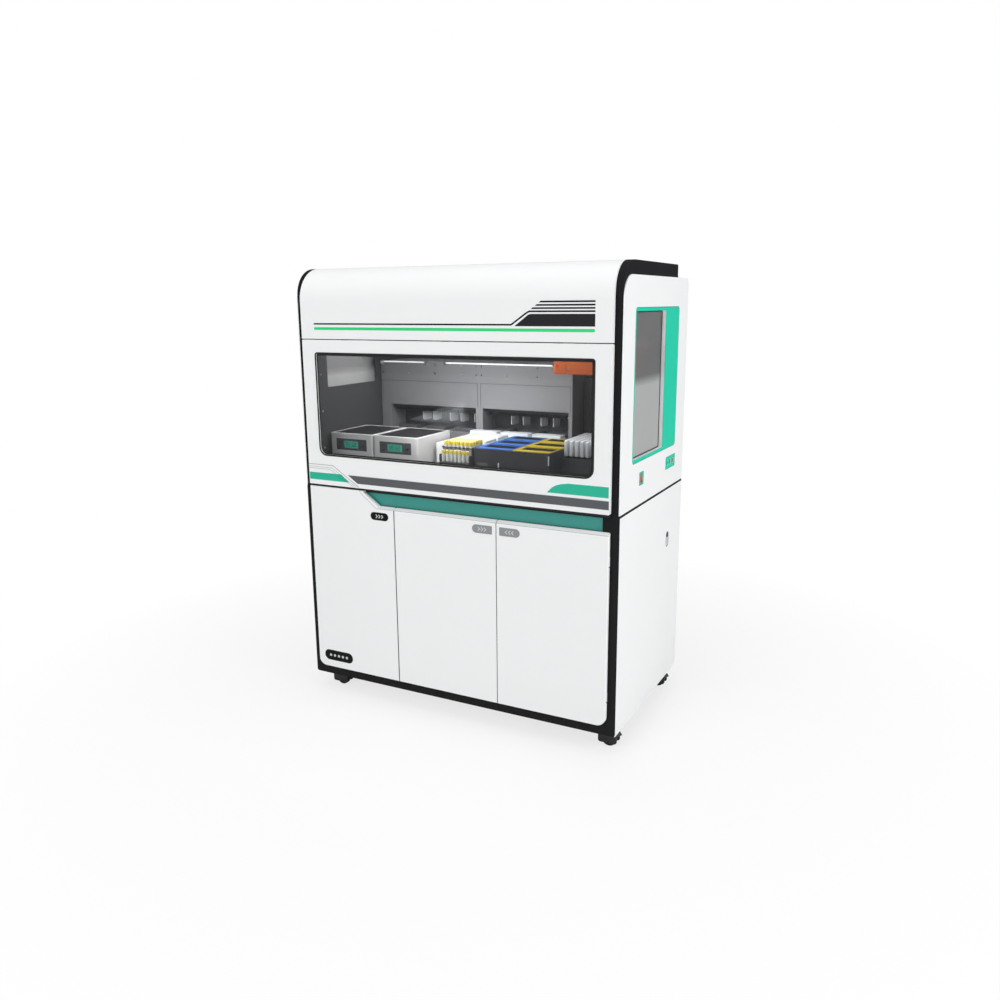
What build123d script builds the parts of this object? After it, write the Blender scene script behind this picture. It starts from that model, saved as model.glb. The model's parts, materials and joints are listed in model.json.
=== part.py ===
from build123d import *
import os

# Floor-standing nucleic acid extractor, millimetres.
# Origin on the floor under the middle of the cabinet, +Z up, door faces towards -Y, +X to the right.

# ---------------------------------------------------------------- overall sizes
WIDTH = 1150.0
DEPTH = 652.0
HEIGHT = 1485.0
CASTER_H = 61.0          # floor to underside of the cabinet
UPPER_H = 724.0          # upper cabinet, from the bench plate to the top
BENCH_T = 8.0
SHEET = 2.0              # folded covers, pans and doors
SKIN = 3.0               # painted side panels
SEAM = 3.0               # gap between neighbouring doors and covers
DOOR_T = 15.0
DOOR_PROUD = 16.0        # door faces stand this far in front of the dark frames
BORDER = 26.0            # dark frame left showing beside the doors
BENCH_Z = HEIGHT - UPPER_H
HALF_W = WIDTH / 2
FRONT_Y = -DEPTH / 2
BACK_Y = DEPTH / 2
FRAME_Y = FRONT_Y + DOOR_PROUD
DOOR_HALF = HALF_W - BORDER
DOOR_BACK_Y = FRONT_Y + DOOR_T
FRAME_HALF = HALF_W - SKIN

# ---------------------------------------------------------------- base cabinet
RING_DEPTH = 36.0        # depth of the welded front ring
DOOR_LAP = 14.0          # doors overlap the ring's opening by this much
SILL = 36.5              # ring showing below the doors
RAIL = 36.0              # square-section rails and posts
LEFT_DOOR_W = 344.0      # outer edges of the doors to the joints beside the middle door
RIGHT_DOOR_W = 372.0
PARTITION_X = LEFT_DOOR_W - DOOR_HALF
PAIR_X = DOOR_HALF - RIGHT_DOOR_W
PARTITION_T = 3.0
MULLION_W = 36.0
DOOR_TOP_Z = BENCH_Z - 52.0
DOOR_RAISED_Z = BENCH_Z - 4.0     # left door rises to here beside the grip
GRIP_TOP_Z = BENCH_Z - 10.0
GRIP_SET_BACK = 5.0
GRIP_RIGHT_X = DOOR_HALF - 26.0
GRIP_TOP_LEFT_X = 225.0 - DOOR_HALF
GRIP_LOW_LEFT_X = GRIP_TOP_LEFT_X + 58.0
GRIP_LAP = 8.0           # grip channel runs on behind the left door
TOP_BEVEL = 6.5          # bevel along the door tops, leading fingers into the grip
OUTER_CORNER_R = 30.0
RING_CORNER_R = 8.0
BENCH_UNDER_Z = BENCH_Z - BENCH_T
RING_INNER_HALF = DOOR_HALF - DOOR_LAP
RING_BACK_Y = FRAME_Y + RING_DEPTH
DOOR_LOW_Z = CASTER_H + SILL
RING_LOW_Z = DOOR_LOW_Z + DOOR_LAP
RING_TOP_Z = DOOR_TOP_Z - DOOR_LAP
FLOOR_Z = CASTER_H + RAIL
REAR_FRAME_Y = BACK_Y - SHEET - RAIL

CABLE_HOLE = (140.0, 60.0)
CABLE_HOLE_AT = (300.0, BACK_Y - 146.0)

# ---------------------------------------------------------------- hinges
HINGE_IN = 7.0           # pivot behind the door face
HINGE_EDGE = 7.0         # pivot inside the door edge
PIN_R = 2.0
PIN_FIT = 0.05           # radial running clearance
EYE_R = 4.2
EYE_H = 30.0
NOTCH_SLACK = 1.5        # notch beyond the eye at each end
PIN_REACH = 12.0         # pin into the door beyond the notch
STILE = 14.0             # solid stile that carries the pins
HINGE_ROUND = 3.0        # front corner of the stile
HINGE_BEVEL = 3.5        # back corner of the stile
HINGE_INSET = 90.0       # hinge centre from the ends of the door
FOOT_W = 12.0            # foot of the arm, let into the frame
FOOT_T = 2.0
ARM_T = 6.0
HOOD_HINGE_IN = 195.0    # outer hood hinges from the sides
HOOD_HINGES = (HOOD_HINGE_IN - HALF_W, 0.0, HALF_W - HOOD_HINGE_IN)
HINGE_RAIL_DEPTH = 20.0  # rail that carries the hood hinges
HINGE_RAIL_DOWN = 32.0   # rail below and above the top of the hood
HINGE_RAIL_UP = 42.0
AXIS_Y = FRONT_Y + HINGE_IN

# ---------------------------------------------------------------- upper cabinet
HOOD_GAP = 4.0           # hood above the bench plate
HOOD_TOP_Z = BENCH_Z + 493.0
HOOD_RIM = 3.0           # lip that the window sits against, and the walls around it
WINDOW_HALF = HALF_W - 81.0
WINDOW_Z = (BENCH_Z + 110.0, HOOD_TOP_Z - 46.0)
WINDOW_LOW_R = 25.0
WINDOW_TOP_R = 5.0
GLASS_T = 5.0
GLASS_LAP = 9.0
GLASS_FIT = 0.3
CHEEK_T = 23.0
CHEEK_SKIN = 3.0
CHEEK_TOP_R = 90.0
CHEEK_RIM = 22.0
STEP_Y = BACK_Y - 121.0  # the roof steps down behind this line
STEP_Z = HEIGHT - 41.0
STEP_R = 8.0
UPPER_PANEL_R = 65.0
UPPER_PANEL_BACK_R = 18.0
BEZEL_T = 1.2
BEZEL_R = 14.0
BEZEL_Y = (-212.0, 226.0)
BEZEL_Z = (BENCH_Z + 134.0, HEIGHT - 131.5)
SIDE_GLASS_Y = (-204.0, 83.0)
SIDE_GLASS_Z = (BEZEL_Z[0] + 12.0, BEZEL_Z[1] - 11.5)
SIDE_GLASS_R = 6.0
SIDE_GLASS_T = 4.0
REVEAL = 11.0            # side glass behind the outer face of the cheek
REVEAL_T = 1.5
PORT_Y = (126.0, 232.0)
PORT_Z = (BENCH_Z + 62.0, BENCH_Z + 104.5)
PORT_COUNT = 3
PORT_SHAPE = 0.6         # height of a port opening as a share of their spacing
SWITCH_Y = (-142.0, -99.0)
SWITCH_Z = (BENCH_Z + 58.0, BENCH_Z + 100.0)
SMALL_BEZEL_R = 4.0
LEFT_LINER_LOW_Z = BENCH_Z + 324.0
LINER_T = 2.0
LINER_BACK_Y = BACK_Y - 26.0
LINER_TOP_Z = STEP_Z - 24.0
ROOF_Y = -120.0          # joint of header and roof
FLANGE = 14.0            # folded edges of the covers
HOOD_LOW_Z = BENCH_Z + HOOD_GAP
HEADER_LOW_Z = HOOD_TOP_Z + SEAM
INNER_HALF = FRAME_HALF - CHEEK_T
LINER_HALF = INNER_HALF - LINER_T

# ---------------------------------------------------------------- deck
DECK_Z = BENCH_Z + 54.0
DECK_T = 3.0
DECK_FRONT_Y = FRAME_Y + 8.0
STAGE_Z = DECK_Z + 90.0
STAGE_T = 6.0
STAGE_FRONT_Y = 66.0
STAGE_GAP = 17.0         # stage beside the heaters
TUBE_RACK_GAP = 6.0
STATION_Y = (118.0, 246.0)
STATION_W = (424.0, 364.0)
STATION_WALL_GAP = 2.0   # left station beside its liner
STATION_ROOM = 304.0     # clear width right of the stations
STATION_TOP_Z = DECK_Z + 345.0
STATION_SEAM = 54.0      # joint of the top cover, down from the top
CAVITY_TOP_Z = DECK_Z + 182.0
CAVITY_WALL = 14.0
CAVITY_LEFT_WALL = 41.0
STATION_BACK_T = 34.0
BRACKET_AT = (163.0, 209.0, 282.0, 328.0, 386.0, 538.0, 585.0, 655.0, 703.0, 767.0)
BRACKET_Z = (DECK_Z + 122.0, DECK_Z + 160.0)
BRACKET_FIN = 60.0
BRACKET_TAB = 22.0
BRACKET_T = 2.0
HEATER_WALL_GAP = 18.0   # left heater beside its liner
HEATER_GAP = 2.0
HEATER_Y = (-227.0, -11.0)
HEATER_TOP_Z = DECK_Z + 115.0
HEATER_R = 8.0
HEATER_PLATE_T = 3.0
HEATER_RIM = 14.0
DISPLAY_IN = 26.0        # display from the sides of its heater
DISPLAY_Z = (DECK_Z + 57.0, DECK_Z + 97.0)
DISPLAY_T = 2.0
TUBE_RACK_W = 114.0
TUBE_RACK_CLEAR = 7.0    # beside the tip-rack carrier
TUBE_HEATER_GAP = 95.0   # room between heaters and tube rack
TUBE_RACK_WALL = 3.0
TUBE_SHELF_T = 4.0
TUBE_RACK_Y = (-230.0, -142.0)
TUBE_RACK_TOP_Z = DECK_Z + 97.0
TUBE_TOP_Z = TUBE_RACK_TOP_Z + 18.0
TUBE_R = 5.0
TUBE_CAP_R = 6.0
TUBE_CAP_H = 12.0
TUBE_FIT = 0.4
TUBE_COLS = 7
TUBE_ROWS = 5
TIP_W = 127.8
TIP_D = 85.5
TIP_PITCH_X = 131.0
TIP_PITCH_Y = 98.0
TIP_ROWS = 3
TIP_FRONT_Y = -226.0
TIP_TOP_Z = DECK_Z + 100.0
TIP_POCKET = 22.0        # depth that a tip rack sits into the carrier
TIP_FIT = 0.4
TIP_LIP = 30.0           # plain front lip of a tip rack
TIP_DIP = 8.0
CARRIER_WALL = 4.0
CARRIER_GAP = 0.2        # carrier beside the strip tray
STRIP_PITCH = 18.0
STRIP_WALL_GAP = 11.0    # strips beside the right liner
STRIP_Y = (-138.0, 56.0)
STRIP_TOP_Z = DECK_Z + 125.0
STRIP_COUNT = 12
STRIP_T = 7.0
TRAY_TOP_Z = DECK_Z + 73.0
TRAY_WALL = 4.0
COMB_H = 12.0            # slotted floor that holds the strips upright
STRIP_FIT = 0.4
NOTCH_R = 9.0            # finger notch at the front of a strip

# layout of the deck: stations and heaters from the left, strips and racks from the right
STATION_LEFT_X = STATION_WALL_GAP - LINER_HALF
STATION_RIGHT_X = LINER_HALF - STATION_ROOM
STATION_SPREAD = (STATION_RIGHT_X - STATION_LEFT_X) / sum(STATION_W)
STATION_X = (STATION_LEFT_X, STATION_LEFT_X + STATION_W[0] * STATION_SPREAD, STATION_RIGHT_X)
BRACKET_X = [STATION_LEFT_X + place * STATION_SPREAD for place in BRACKET_AT]
STRIP_X = (LINER_HALF - STRIP_WALL_GAP - STRIP_COUNT * STRIP_PITCH, LINER_HALF - STRIP_WALL_GAP)
CARRIER_RIGHT_X = STRIP_X[0] - TRAY_WALL - CARRIER_GAP
TIP_RIGHT_X = CARRIER_RIGHT_X - CARRIER_WALL - TIP_W
TIP_X = (TIP_RIGHT_X - TIP_PITCH_X, TIP_RIGHT_X)
CARRIER_X = (TIP_X[0] - CARRIER_WALL, CARRIER_RIGHT_X)
TUBE_RACK_X = (CARRIER_X[0] - TUBE_RACK_CLEAR - TUBE_RACK_W, CARRIER_X[0] - TUBE_RACK_CLEAR)
HEATER_LEFT_X = HEATER_WALL_GAP - LINER_HALF
HEATER_W = (TUBE_RACK_X[0] - TUBE_HEATER_GAP - HEATER_LEFT_X - HEATER_GAP) / 2
HEATER_X = (HEATER_LEFT_X, HEATER_LEFT_X + HEATER_W + HEATER_GAP)
STAGE_LEFT_X = HEATER_X[1] + HEATER_W + STAGE_GAP

# ---------------------------------------------------------------- gantry
BEAM_Y = (14.0, 54.0)
BEAM_Z = (STATION_TOP_Z + 20.0, STATION_TOP_Z + 90.0)
BEAM_BRACKET_IN = 47.0   # outer brackets from the liners
BEAM_BRACKET_X = (BEAM_BRACKET_IN - LINER_HALF, 0.0, LINER_HALF - BEAM_BRACKET_IN)
BEAM_BRACKET_T = 5.0
GUIDE_H = 15.0           # linear guide on the beam's front face
GUIDE_T = 7.0
ARM_SLACK = 0.5
HEAD_WALL_GAP = 6.0      # head beside the right liner at rest
HEAD_W = 62.0
HEAD_ARM_GAP = 9.0       # room for the head guide
ARM_L = 208.0
ARM_FRONT_Y = -92.0
ARM_Z = (BEAM_Z[0] - 34.0, BEAM_Z[1] - 4.0)
ARM_R = 10.0
HEAD_Z = (ARM_Z[0] - 60.0, ARM_Z[1] - 10.0)
HEAD_X = (LINER_HALF - HEAD_WALL_GAP - HEAD_W, LINER_HALF - HEAD_WALL_GAP)
ARM_X = (HEAD_X[0] - HEAD_ARM_GAP - ARM_L, HEAD_X[0] - HEAD_ARM_GAP)
NOZZLE_R = 3.0
NOZZLE_TIP_R = 1.6
NOZZLE_L = 24.0
NOZZLE_PITCH = 9.0
NOZZLES = 8
ARM_BACK_Y = BEAM_Y[0] - GUIDE_T - ARM_SLACK

# ---------------------------------------------------------------- side fittings
ROCKER_Y = 22.0
ROCKER_Z = 28.0
ROCKER_FACE = 4.0        # pin to the ends of the rocker's face
ROCKER_DISH = 1.2
ROCKER_BACK = 4.5
ROCKER_TILT = 5.0        # degrees each way
ROCKER_SINK = 5.5        # pin behind the outer face of the panel
ROCKER_PIN_R = 1.5
LATCH_Y = BACK_Y - 151.0
LATCH_Z = (BENCH_Z - 212.0, BENCH_Z - 159.0)
LATCH_W = 26.0
LATCH_DEPTH = 12.0
LEVER_L = 32.0           # length of the pull lever
LEVER_GAP = 0.6
LEVER_T = 5.0
LEVER_PIN_R = 1.5

# ---------------------------------------------------------------- inside the base
DRAIN_SIZE = (60.0, 6.0)
DRAIN_PITCH = 24.0
DRAIN_ROWS = 5
VENT_SIZE = (90.0, 5.0)
VENT_PITCH = 12.0
BIN_TOP = (230.0, 320.0)
BIN_FOOT = (196.0, 286.0)
BIN_H = 430.0
BIN_X = 200.0 - FRAME_HALF
BIN_Y = -40.0
BIN_R = 24.0
SUPPLY = (210.0, 130.0, 120.0)
SUPPLY_X = FRAME_HALF - 192.0
CONTROLLER = (320.0, 220.0, 170.0)
CONTROLLER_X = 20.0
SUPPLY_FINS = 9
INLET = (48.0, 28.0)
INLET_WALL = 1.0         # hole around the inlet
VENT_COLUMNS = 2
VENT_COLUMN_PITCH = 110.0
LOW_VENT_ROWS = 8
CASE_VENT_ROWS = 7
TOP_VENT_ROWS = 10
DRAIN_X = (BIN_X - 8.0, CONTROLLER_X + 40.0, SUPPLY_X - 50.0)

# ---------------------------------------------------------------- casters
CASTER_X = HALF_W - 55.0
CASTER_Y = DEPTH / 2 - 76.0
WHEEL_R = 25.0
WHEEL_W = 18.0
TREAD_R = 3.0
TRAIL = 17.0
AXLE_R = 4.0
STEM_R = 6.0
STEM_L = 8.0
FORK_T = 3.0
FORK_TOP_T = 4.0
CASTER_PLATE = 62.0
CASTER_PLATE_T = 3.0
CASTER_BOLT_R = 3.3
CASTER_BOLT_PITCH = 46.0
WHEEL_FIT = 0.6          # wheel to fork cheek, each side


def slab(x0, x1, y0, y1, z0, z1):
    """Box between two opposite corners."""
    return Pos((x0 + x1) / 2, (y0 + y1) / 2, (z0 + z1) / 2) * Box(x1 - x0, y1 - y0, z1 - z0)


def pillar(x, y, z0, z1, r):
    """Upright cylinder between two heights."""
    return Pos(x, y, (z0 + z1) / 2) * Cylinder(r, z1 - z0)


def rod_x(x0, x1, y, z, r):
    """Cylinder along X."""
    return Pos((x0 + x1) / 2, y, z) * Rot(0, 90, 0) * Cylinder(r, x1 - x0)


def rod_y(y0, y1, x, z, r):
    """Cylinder along Y."""
    return Pos(x, (y0 + y1) / 2, z) * Rot(90, 0, 0) * Cylinder(r, y1 - y0)


def outline(u, v, radii=None, grow=0.0):
    """Flat rectangle over two spans; radii maps (0 or 1, 0 or 1) corners to their rounding."""
    u0, u1 = u[0] - grow, u[1] + grow
    v0, v1 = v[0] - grow, v[1] + grow
    face = Pos((u0 + u1) / 2, (v0 + v1) / 2) * Rectangle(u1 - u0, v1 - v0)
    for (i, j), radius in (radii or {}).items():
        corner = face.vertices().sort_by_distance(((u0, u1)[i], (v0, v1)[j], 0))[0]
        face = fillet(corner, radius + grow)
    return face


def all_round(radius):
    """The same rounding at all four corners of an outline."""
    return {(i, j): radius for i in (0, 1) for j in (0, 1)}


def from_front(sketch, y0, y1):
    """Extrude a sketch of X against Z, from y0 back to y1."""
    plane = Plane(origin=(0, y0, 0), x_dir=(1, 0, 0), z_dir=(0, -1, 0))
    return extrude(plane * sketch, amount=y0 - y1)


def from_side(sketch, x0, x1):
    """Extrude a sketch of Y against Z, from x0 to x1."""
    plane = Plane(origin=(x0, 0, 0), x_dir=(0, 1, 0), z_dir=(1, 0, 0))
    return extrude(plane * sketch, amount=x1 - x0)


def from_top(sketch, z0, z1):
    """Extrude a sketch of X against Y, from z0 up to z1."""
    return extrude(Plane.XY.offset(z0) * sketch, amount=z1 - z0)


def mirrored(solid):
    """The same piece on the other side of the cabinet."""
    return mirror(solid, about=Plane.YZ)


def write(node, *solids):
    """Write one sub-part as a STEP file."""
    pieces = [piece for solid in solids for piece in solid.solids()]
    whole = pieces[0] if len(pieces) == 1 else Compound(children=pieces)
    export_step(whole, f"parts/{node}.step")


def slots(size, pitch, rows, columns=1, column_pitch=0.0):
    """Grid of round-ended slots about the sketch origin."""
    length, height = size
    slot = RectangleRounded(length, height, height / 2 - 0.05)
    grid = Sketch()
    for row in range(rows):
        for column in range(columns):
            u = (column - (columns - 1) / 2) * column_pitch
            v = (row - (rows - 1) / 2) * pitch
            grid += Pos(u, v) * slot
    return grid


def vents(rows):
    """Field of vent slots about the sketch origin."""
    return slots(VENT_SIZE, VENT_PITCH, rows, VENT_COLUMNS, VENT_COLUMN_PITCH)


# ================================================================ base cabinet
def grip_outline(lap=0.0):
    """Slant-ended strip of the grip; lap carries its left end on behind the left door."""
    low = (GRIP_LOW_LEFT_X - lap, DOOR_TOP_Z)
    high = (GRIP_TOP_LEFT_X - lap, GRIP_TOP_Z)
    return make_face(Polyline(low, (GRIP_RIGHT_X, DOOR_TOP_Z), (GRIP_RIGHT_X, GRIP_TOP_Z), high, close=True))


def hinge_heights(low, high):
    """Heights of the two hinges of an upright door."""
    return (low + HINGE_INSET, high - HINGE_INSET)


def hinge_axes():
    """Pivot X of the left, middle and right doors."""
    return (-DOOR_HALF + HINGE_EDGE, PARTITION_X + SEAM / 2 + HINGE_EDGE, DOOR_HALF - HINGE_EDGE)


def hinge_foot(x, z):
    """Foot of an upright hinge arm, let into the face of the ring."""
    half_w, half_h = FOOT_W / 2, EYE_H / 2
    return slab(x - half_w, x + half_w, FRAME_Y, FRAME_Y + FOOT_T, z - half_h, z + half_h)


def base_frame():
    """Welded frame: front ring with mullion, rear ring, four long rails and the partition."""
    low_corners = {(0, 0): RING_CORNER_R, (1, 0): RING_CORNER_R}
    border = outline((-HALF_W, HALF_W), (CASTER_H, BENCH_UNDER_Z), low_corners)
    body = outline((-FRAME_HALF, FRAME_HALF), (CASTER_H, BENCH_UNDER_Z), low_corners)
    hole = outline((-RING_INNER_HALF, RING_INNER_HALF), (RING_LOW_Z, RING_TOP_Z))
    mullion = outline((PARTITION_X - MULLION_W / 2, PARTITION_X + MULLION_W / 2), (RING_LOW_Z, RING_TOP_Z))
    frame = from_front(body - hole + mullion, FRAME_Y, RING_BACK_Y)
    frame += from_front(border - body, FRAME_Y, FRAME_Y + SKIN)
    frame -= from_front(grip_outline(GRIP_LAP), FRAME_Y, FRAME_Y + GRIP_SET_BACK + SHEET)
    rear = outline((-FRAME_HALF, FRAME_HALF), (CASTER_H, BENCH_UNDER_Z))
    rear -= outline((RAIL - FRAME_HALF, FRAME_HALF - RAIL), (CASTER_H + RAIL, BENCH_UNDER_Z - RAIL))
    frame += from_front(rear, REAR_FRAME_Y, REAR_FRAME_Y + RAIL)
    for x in (-FRAME_HALF, FRAME_HALF - RAIL):
        for z in (CASTER_H, BENCH_UNDER_Z - RAIL):
            frame += slab(x, x + RAIL, RING_BACK_Y, REAR_FRAME_Y, z, z + RAIL)
    half_wall = PARTITION_T / 2
    frame += slab(PARTITION_X - half_wall, PARTITION_X + half_wall, RING_BACK_Y, REAR_FRAME_Y,
                  FLOOR_Z + SHEET, BENCH_UNDER_Z)
    for x in hinge_axes():
        for z in hinge_heights(DOOR_LOW_Z, DOOR_TOP_Z):
            frame -= hinge_foot(x, z)
    return frame


def base_floor_pan():
    """Floor sheet on the bottom rails, turned up at the back, with three sets of drain slots."""
    pan = slab(-FRAME_HALF, FRAME_HALF, RING_BACK_Y, REAR_FRAME_Y, FLOOR_Z, FLOOR_Z + SHEET)
    left_bay = (RAIL - FRAME_HALF, PARTITION_X - PARTITION_T)
    right_bay = (PARTITION_X + PARTITION_T, FRAME_HALF - RAIL)
    for x0, x1 in (left_bay, right_bay):
        pan += slab(x0, x1, REAR_FRAME_Y - SHEET, REAR_FRAME_Y, FLOOR_Z, FLOOR_Z + RAIL / 2)
    for x in DRAIN_X:
        grid = Pos(x, 0) * slots(DRAIN_SIZE, DRAIN_PITCH, DRAIN_ROWS)
        pan -= from_top(grid, FLOOR_Z - SHEET, FLOOR_Z + 2 * SHEET)
    return pan


def base_side_panel():
    """Right lower side panel, a flat painted skin behind the border of the front ring."""
    sketch = outline((FRAME_Y + SKIN, BACK_Y), (CASTER_H, BENCH_UNDER_Z), {(1, 0): RING_CORNER_R})
    return from_side(sketch, FRAME_HALF, HALF_W)


def latch_outline(grow=0.0):
    """Round-ended outline of the side latch."""
    half = LATCH_W / 2 - 0.05
    return outline((LATCH_Y - LATCH_W / 2, LATCH_Y + LATCH_W / 2), LATCH_Z, all_round(half), grow)


def base_back_panel():
    """Lower rear cover with two fields of vent slots and the hole of the mains inlet."""
    sketch = outline((-FRAME_HALF, FRAME_HALF), (CASTER_H, BENCH_UNDER_Z), all_round(RING_CORNER_R))
    for x in (-SUPPLY_X, CONTROLLER_X):
        sketch -= Pos(x, BENCH_UNDER_Z - CONTROLLER[2]) * vents(LOW_VENT_ROWS)
    inlet_z = FLOOR_Z + SHEET + SUPPLY[2] / 2
    sketch -= Pos(SUPPLY_X, inlet_z) * RectangleRounded(*INLET, HINGE_ROUND)
    return from_front(sketch, BACK_Y - SHEET, BACK_Y)


def base_top_plate():
    """Dark plate between base and upper cabinet, with a cable hole under the deck."""
    plate = outline((-HALF_W, HALF_W), (FRAME_Y, BACK_Y), all_round(HINGE_ROUND))
    plate -= Pos(*CABLE_HOLE_AT) * RectangleRounded(*CABLE_HOLE, OUTER_CORNER_R / 2)
    return from_top(plate, BENCH_UNDER_Z, BENCH_Z)


def grip_recess_panel():
    """Coloured channel floor behind the tops of the doors."""
    face_y = FRAME_Y + GRIP_SET_BACK
    return from_front(grip_outline(GRIP_LAP), face_y, face_y + SHEET)


def door_section(x0, x1, hinge):
    """Plan section of a door; hinge is 0 for a left-hand stile and 1 for a right-hand one."""
    plan = outline((x0, x1), (FRONT_Y, DOOR_BACK_Y), {(hinge, 0): HINGE_ROUND})
    corner = plan.vertices().sort_by_distance(((x0, x1)[hinge], DOOR_BACK_Y, 0))[0]
    return chamfer(corner, HINGE_BEVEL)


def hinge_pocket(x, z, hinge):
    """Room for the hinge arm in the edge of a door, with the bores of its pin."""
    reach = EYE_H / 2 + NOTCH_SLACK
    edge = x - HINGE_EDGE - 1 if hinge == 0 else x + HINGE_EDGE + 1
    inner = x + HINGE_EDGE if hinge == 0 else x - HINGE_EDGE
    x0, x1 = sorted((edge, inner))
    notch = slab(x0, x1, FRONT_Y + SHEET, DOOR_BACK_Y + 1, z - reach, z + reach)
    return notch + pillar(x, AXIS_Y, z - reach - PIN_REACH, z + reach + PIN_REACH, PIN_R + PIN_FIT)


def base_door(x0, x1, hinge, outer=None, raised=False):
    """Folded door: front skin, returned edges, bevelled top and a solid stile for its pins."""
    corners = {(outer, 0): OUTER_CORNER_R} if outer is not None else {}
    front = outline((x0, x1), (DOOR_LOW_Z, DOOR_TOP_Z), corners)
    if raised:
        ear = Polyline((x0, DOOR_TOP_Z), (GRIP_LOW_LEFT_X, DOOR_TOP_Z), (GRIP_TOP_LEFT_X, GRIP_TOP_Z),
                       (GRIP_TOP_LEFT_X, DOOR_RAISED_Z), (x0, DOOR_RAISED_Z), close=True)
        front += make_face(ear)
    top = DOOR_RAISED_Z if raised else DOOR_TOP_Z
    door = from_front(front, FRONT_Y, DOOR_BACK_Y) & from_top(door_section(x0, x1, hinge), DOOR_LOW_Z, top)
    bevel = make_face(Polyline((FRONT_Y, DOOR_TOP_Z - TOP_BEVEL), (DOOR_BACK_Y, DOOR_TOP_Z),
                               (FRONT_Y, DOOR_TOP_Z), close=True))
    door -= from_side(bevel, GRIP_LOW_LEFT_X if raised else x0, x1)
    inside = (x0 + STILE, x1 - SHEET) if hinge == 0 else (x0 + SHEET, x1 - STILE)
    pan_corners = {key: radius - SHEET for key, radius in corners.items() if outer != hinge}
    pan = outline(inside, (DOOR_LOW_Z + SHEET, DOOR_TOP_Z - TOP_BEVEL - SHEET), pan_corners)
    door -= from_front(pan, FRONT_Y + SHEET, DOOR_BACK_Y)
    axis_x = x0 + HINGE_EDGE if hinge == 0 else x1 - HINGE_EDGE
    for z in hinge_heights(DOOR_LOW_Z, DOOR_TOP_Z):
        door -= hinge_pocket(axis_x, z, hinge)
    return door


def hinge_arm():
    """Hinge arm about its pin, drawn at the origin with the pin along Z and the foot towards +Y."""
    foot_y = DOOR_PROUD - HINGE_IN
    arm = pillar(0, 0, -EYE_H / 2, EYE_H / 2, EYE_R)
    arm += slab(-ARM_T / 2, ARM_T / 2, 0, foot_y, -EYE_H / 2, EYE_H / 2)
    arm += slab(-FOOT_W / 2, FOOT_W / 2, foot_y, foot_y + FOOT_T, -EYE_H / 2, EYE_H / 2)
    half_pin = EYE_H / 2 + NOTCH_SLACK + PIN_REACH
    return arm + pillar(0, 0, -half_pin, half_pin, PIN_R)


def door_hinge_arms():
    """Two arms for each base door."""
    places = [(x, z) for x in hinge_axes() for z in hinge_heights(DOOR_LOW_Z, DOOR_TOP_Z)]
    return [Pos(x, AXIS_Y, z) * hinge_arm() for x, z in places]


# ================================================================ inside the base
def power_supply_unit():
    """Finned supply against the back cover, its inlet facing out through the cover's hole."""
    width, depth, height = SUPPLY
    back = REAR_FRAME_Y
    low = FLOOR_Z + SHEET
    left, front = SUPPLY_X - width / 2, back - depth - SHEET
    unit = slab(left, left + width, front, back - SHEET, low, low + height)
    unit = fillet(unit.edges().filter_by(Axis.Z), HINGE_ROUND)
    fin = width / (2 * SUPPLY_FINS + 2)
    for i in range(SUPPLY_FINS):
        x = left + fin * (2 * i + 1.5)
        unit -= slab(x, x + fin, front, back - SHEET, low + height - fin, low + height)
    inlet_z = low + height / 2
    half_w, half_h = INLET[0] / 2 - INLET_WALL, INLET[1] / 2 - INLET_WALL
    unit += slab(SUPPLY_X - half_w, SUPPLY_X + half_w, back - SHEET, BACK_Y - SHEET,
                 inlet_z - half_h, inlet_z + half_h)
    unit -= slab(SUPPLY_X - half_w + SHEET, SUPPLY_X + half_w - SHEET, BACK_Y - RAIL / 2, BACK_Y,
                 inlet_z - half_h + SHEET, inlet_z + half_h - SHEET)
    return unit


def controller_unit():
    """Control computer in its case, with slotted front and lid lip."""
    width, depth, height = CONTROLLER
    low = FLOOR_Z + SHEET
    front = REAR_FRAME_Y - SHEET - depth
    span_x = (CONTROLLER_X - width / 2, CONTROLLER_X + width / 2)
    lid_low = low + height - FLANGE
    case = slab(*span_x, front, front + depth, low, low + height)
    case = fillet(case.edges().filter_by(Axis.Y), HINGE_ROUND)
    case -= from_front(outline(span_x, (lid_low - SHEET / 2, lid_low)), front, front + SHEET / 2)
    case += from_front(outline(span_x, (lid_low, low + height)), front - SHEET / 2, front)
    grid = Pos(CONTROLLER_X, low + height / 2 - FLANGE) * vents(CASE_VENT_ROWS)
    return case - from_front(grid, front - SHEET, front + 2 * SHEET)


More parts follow.
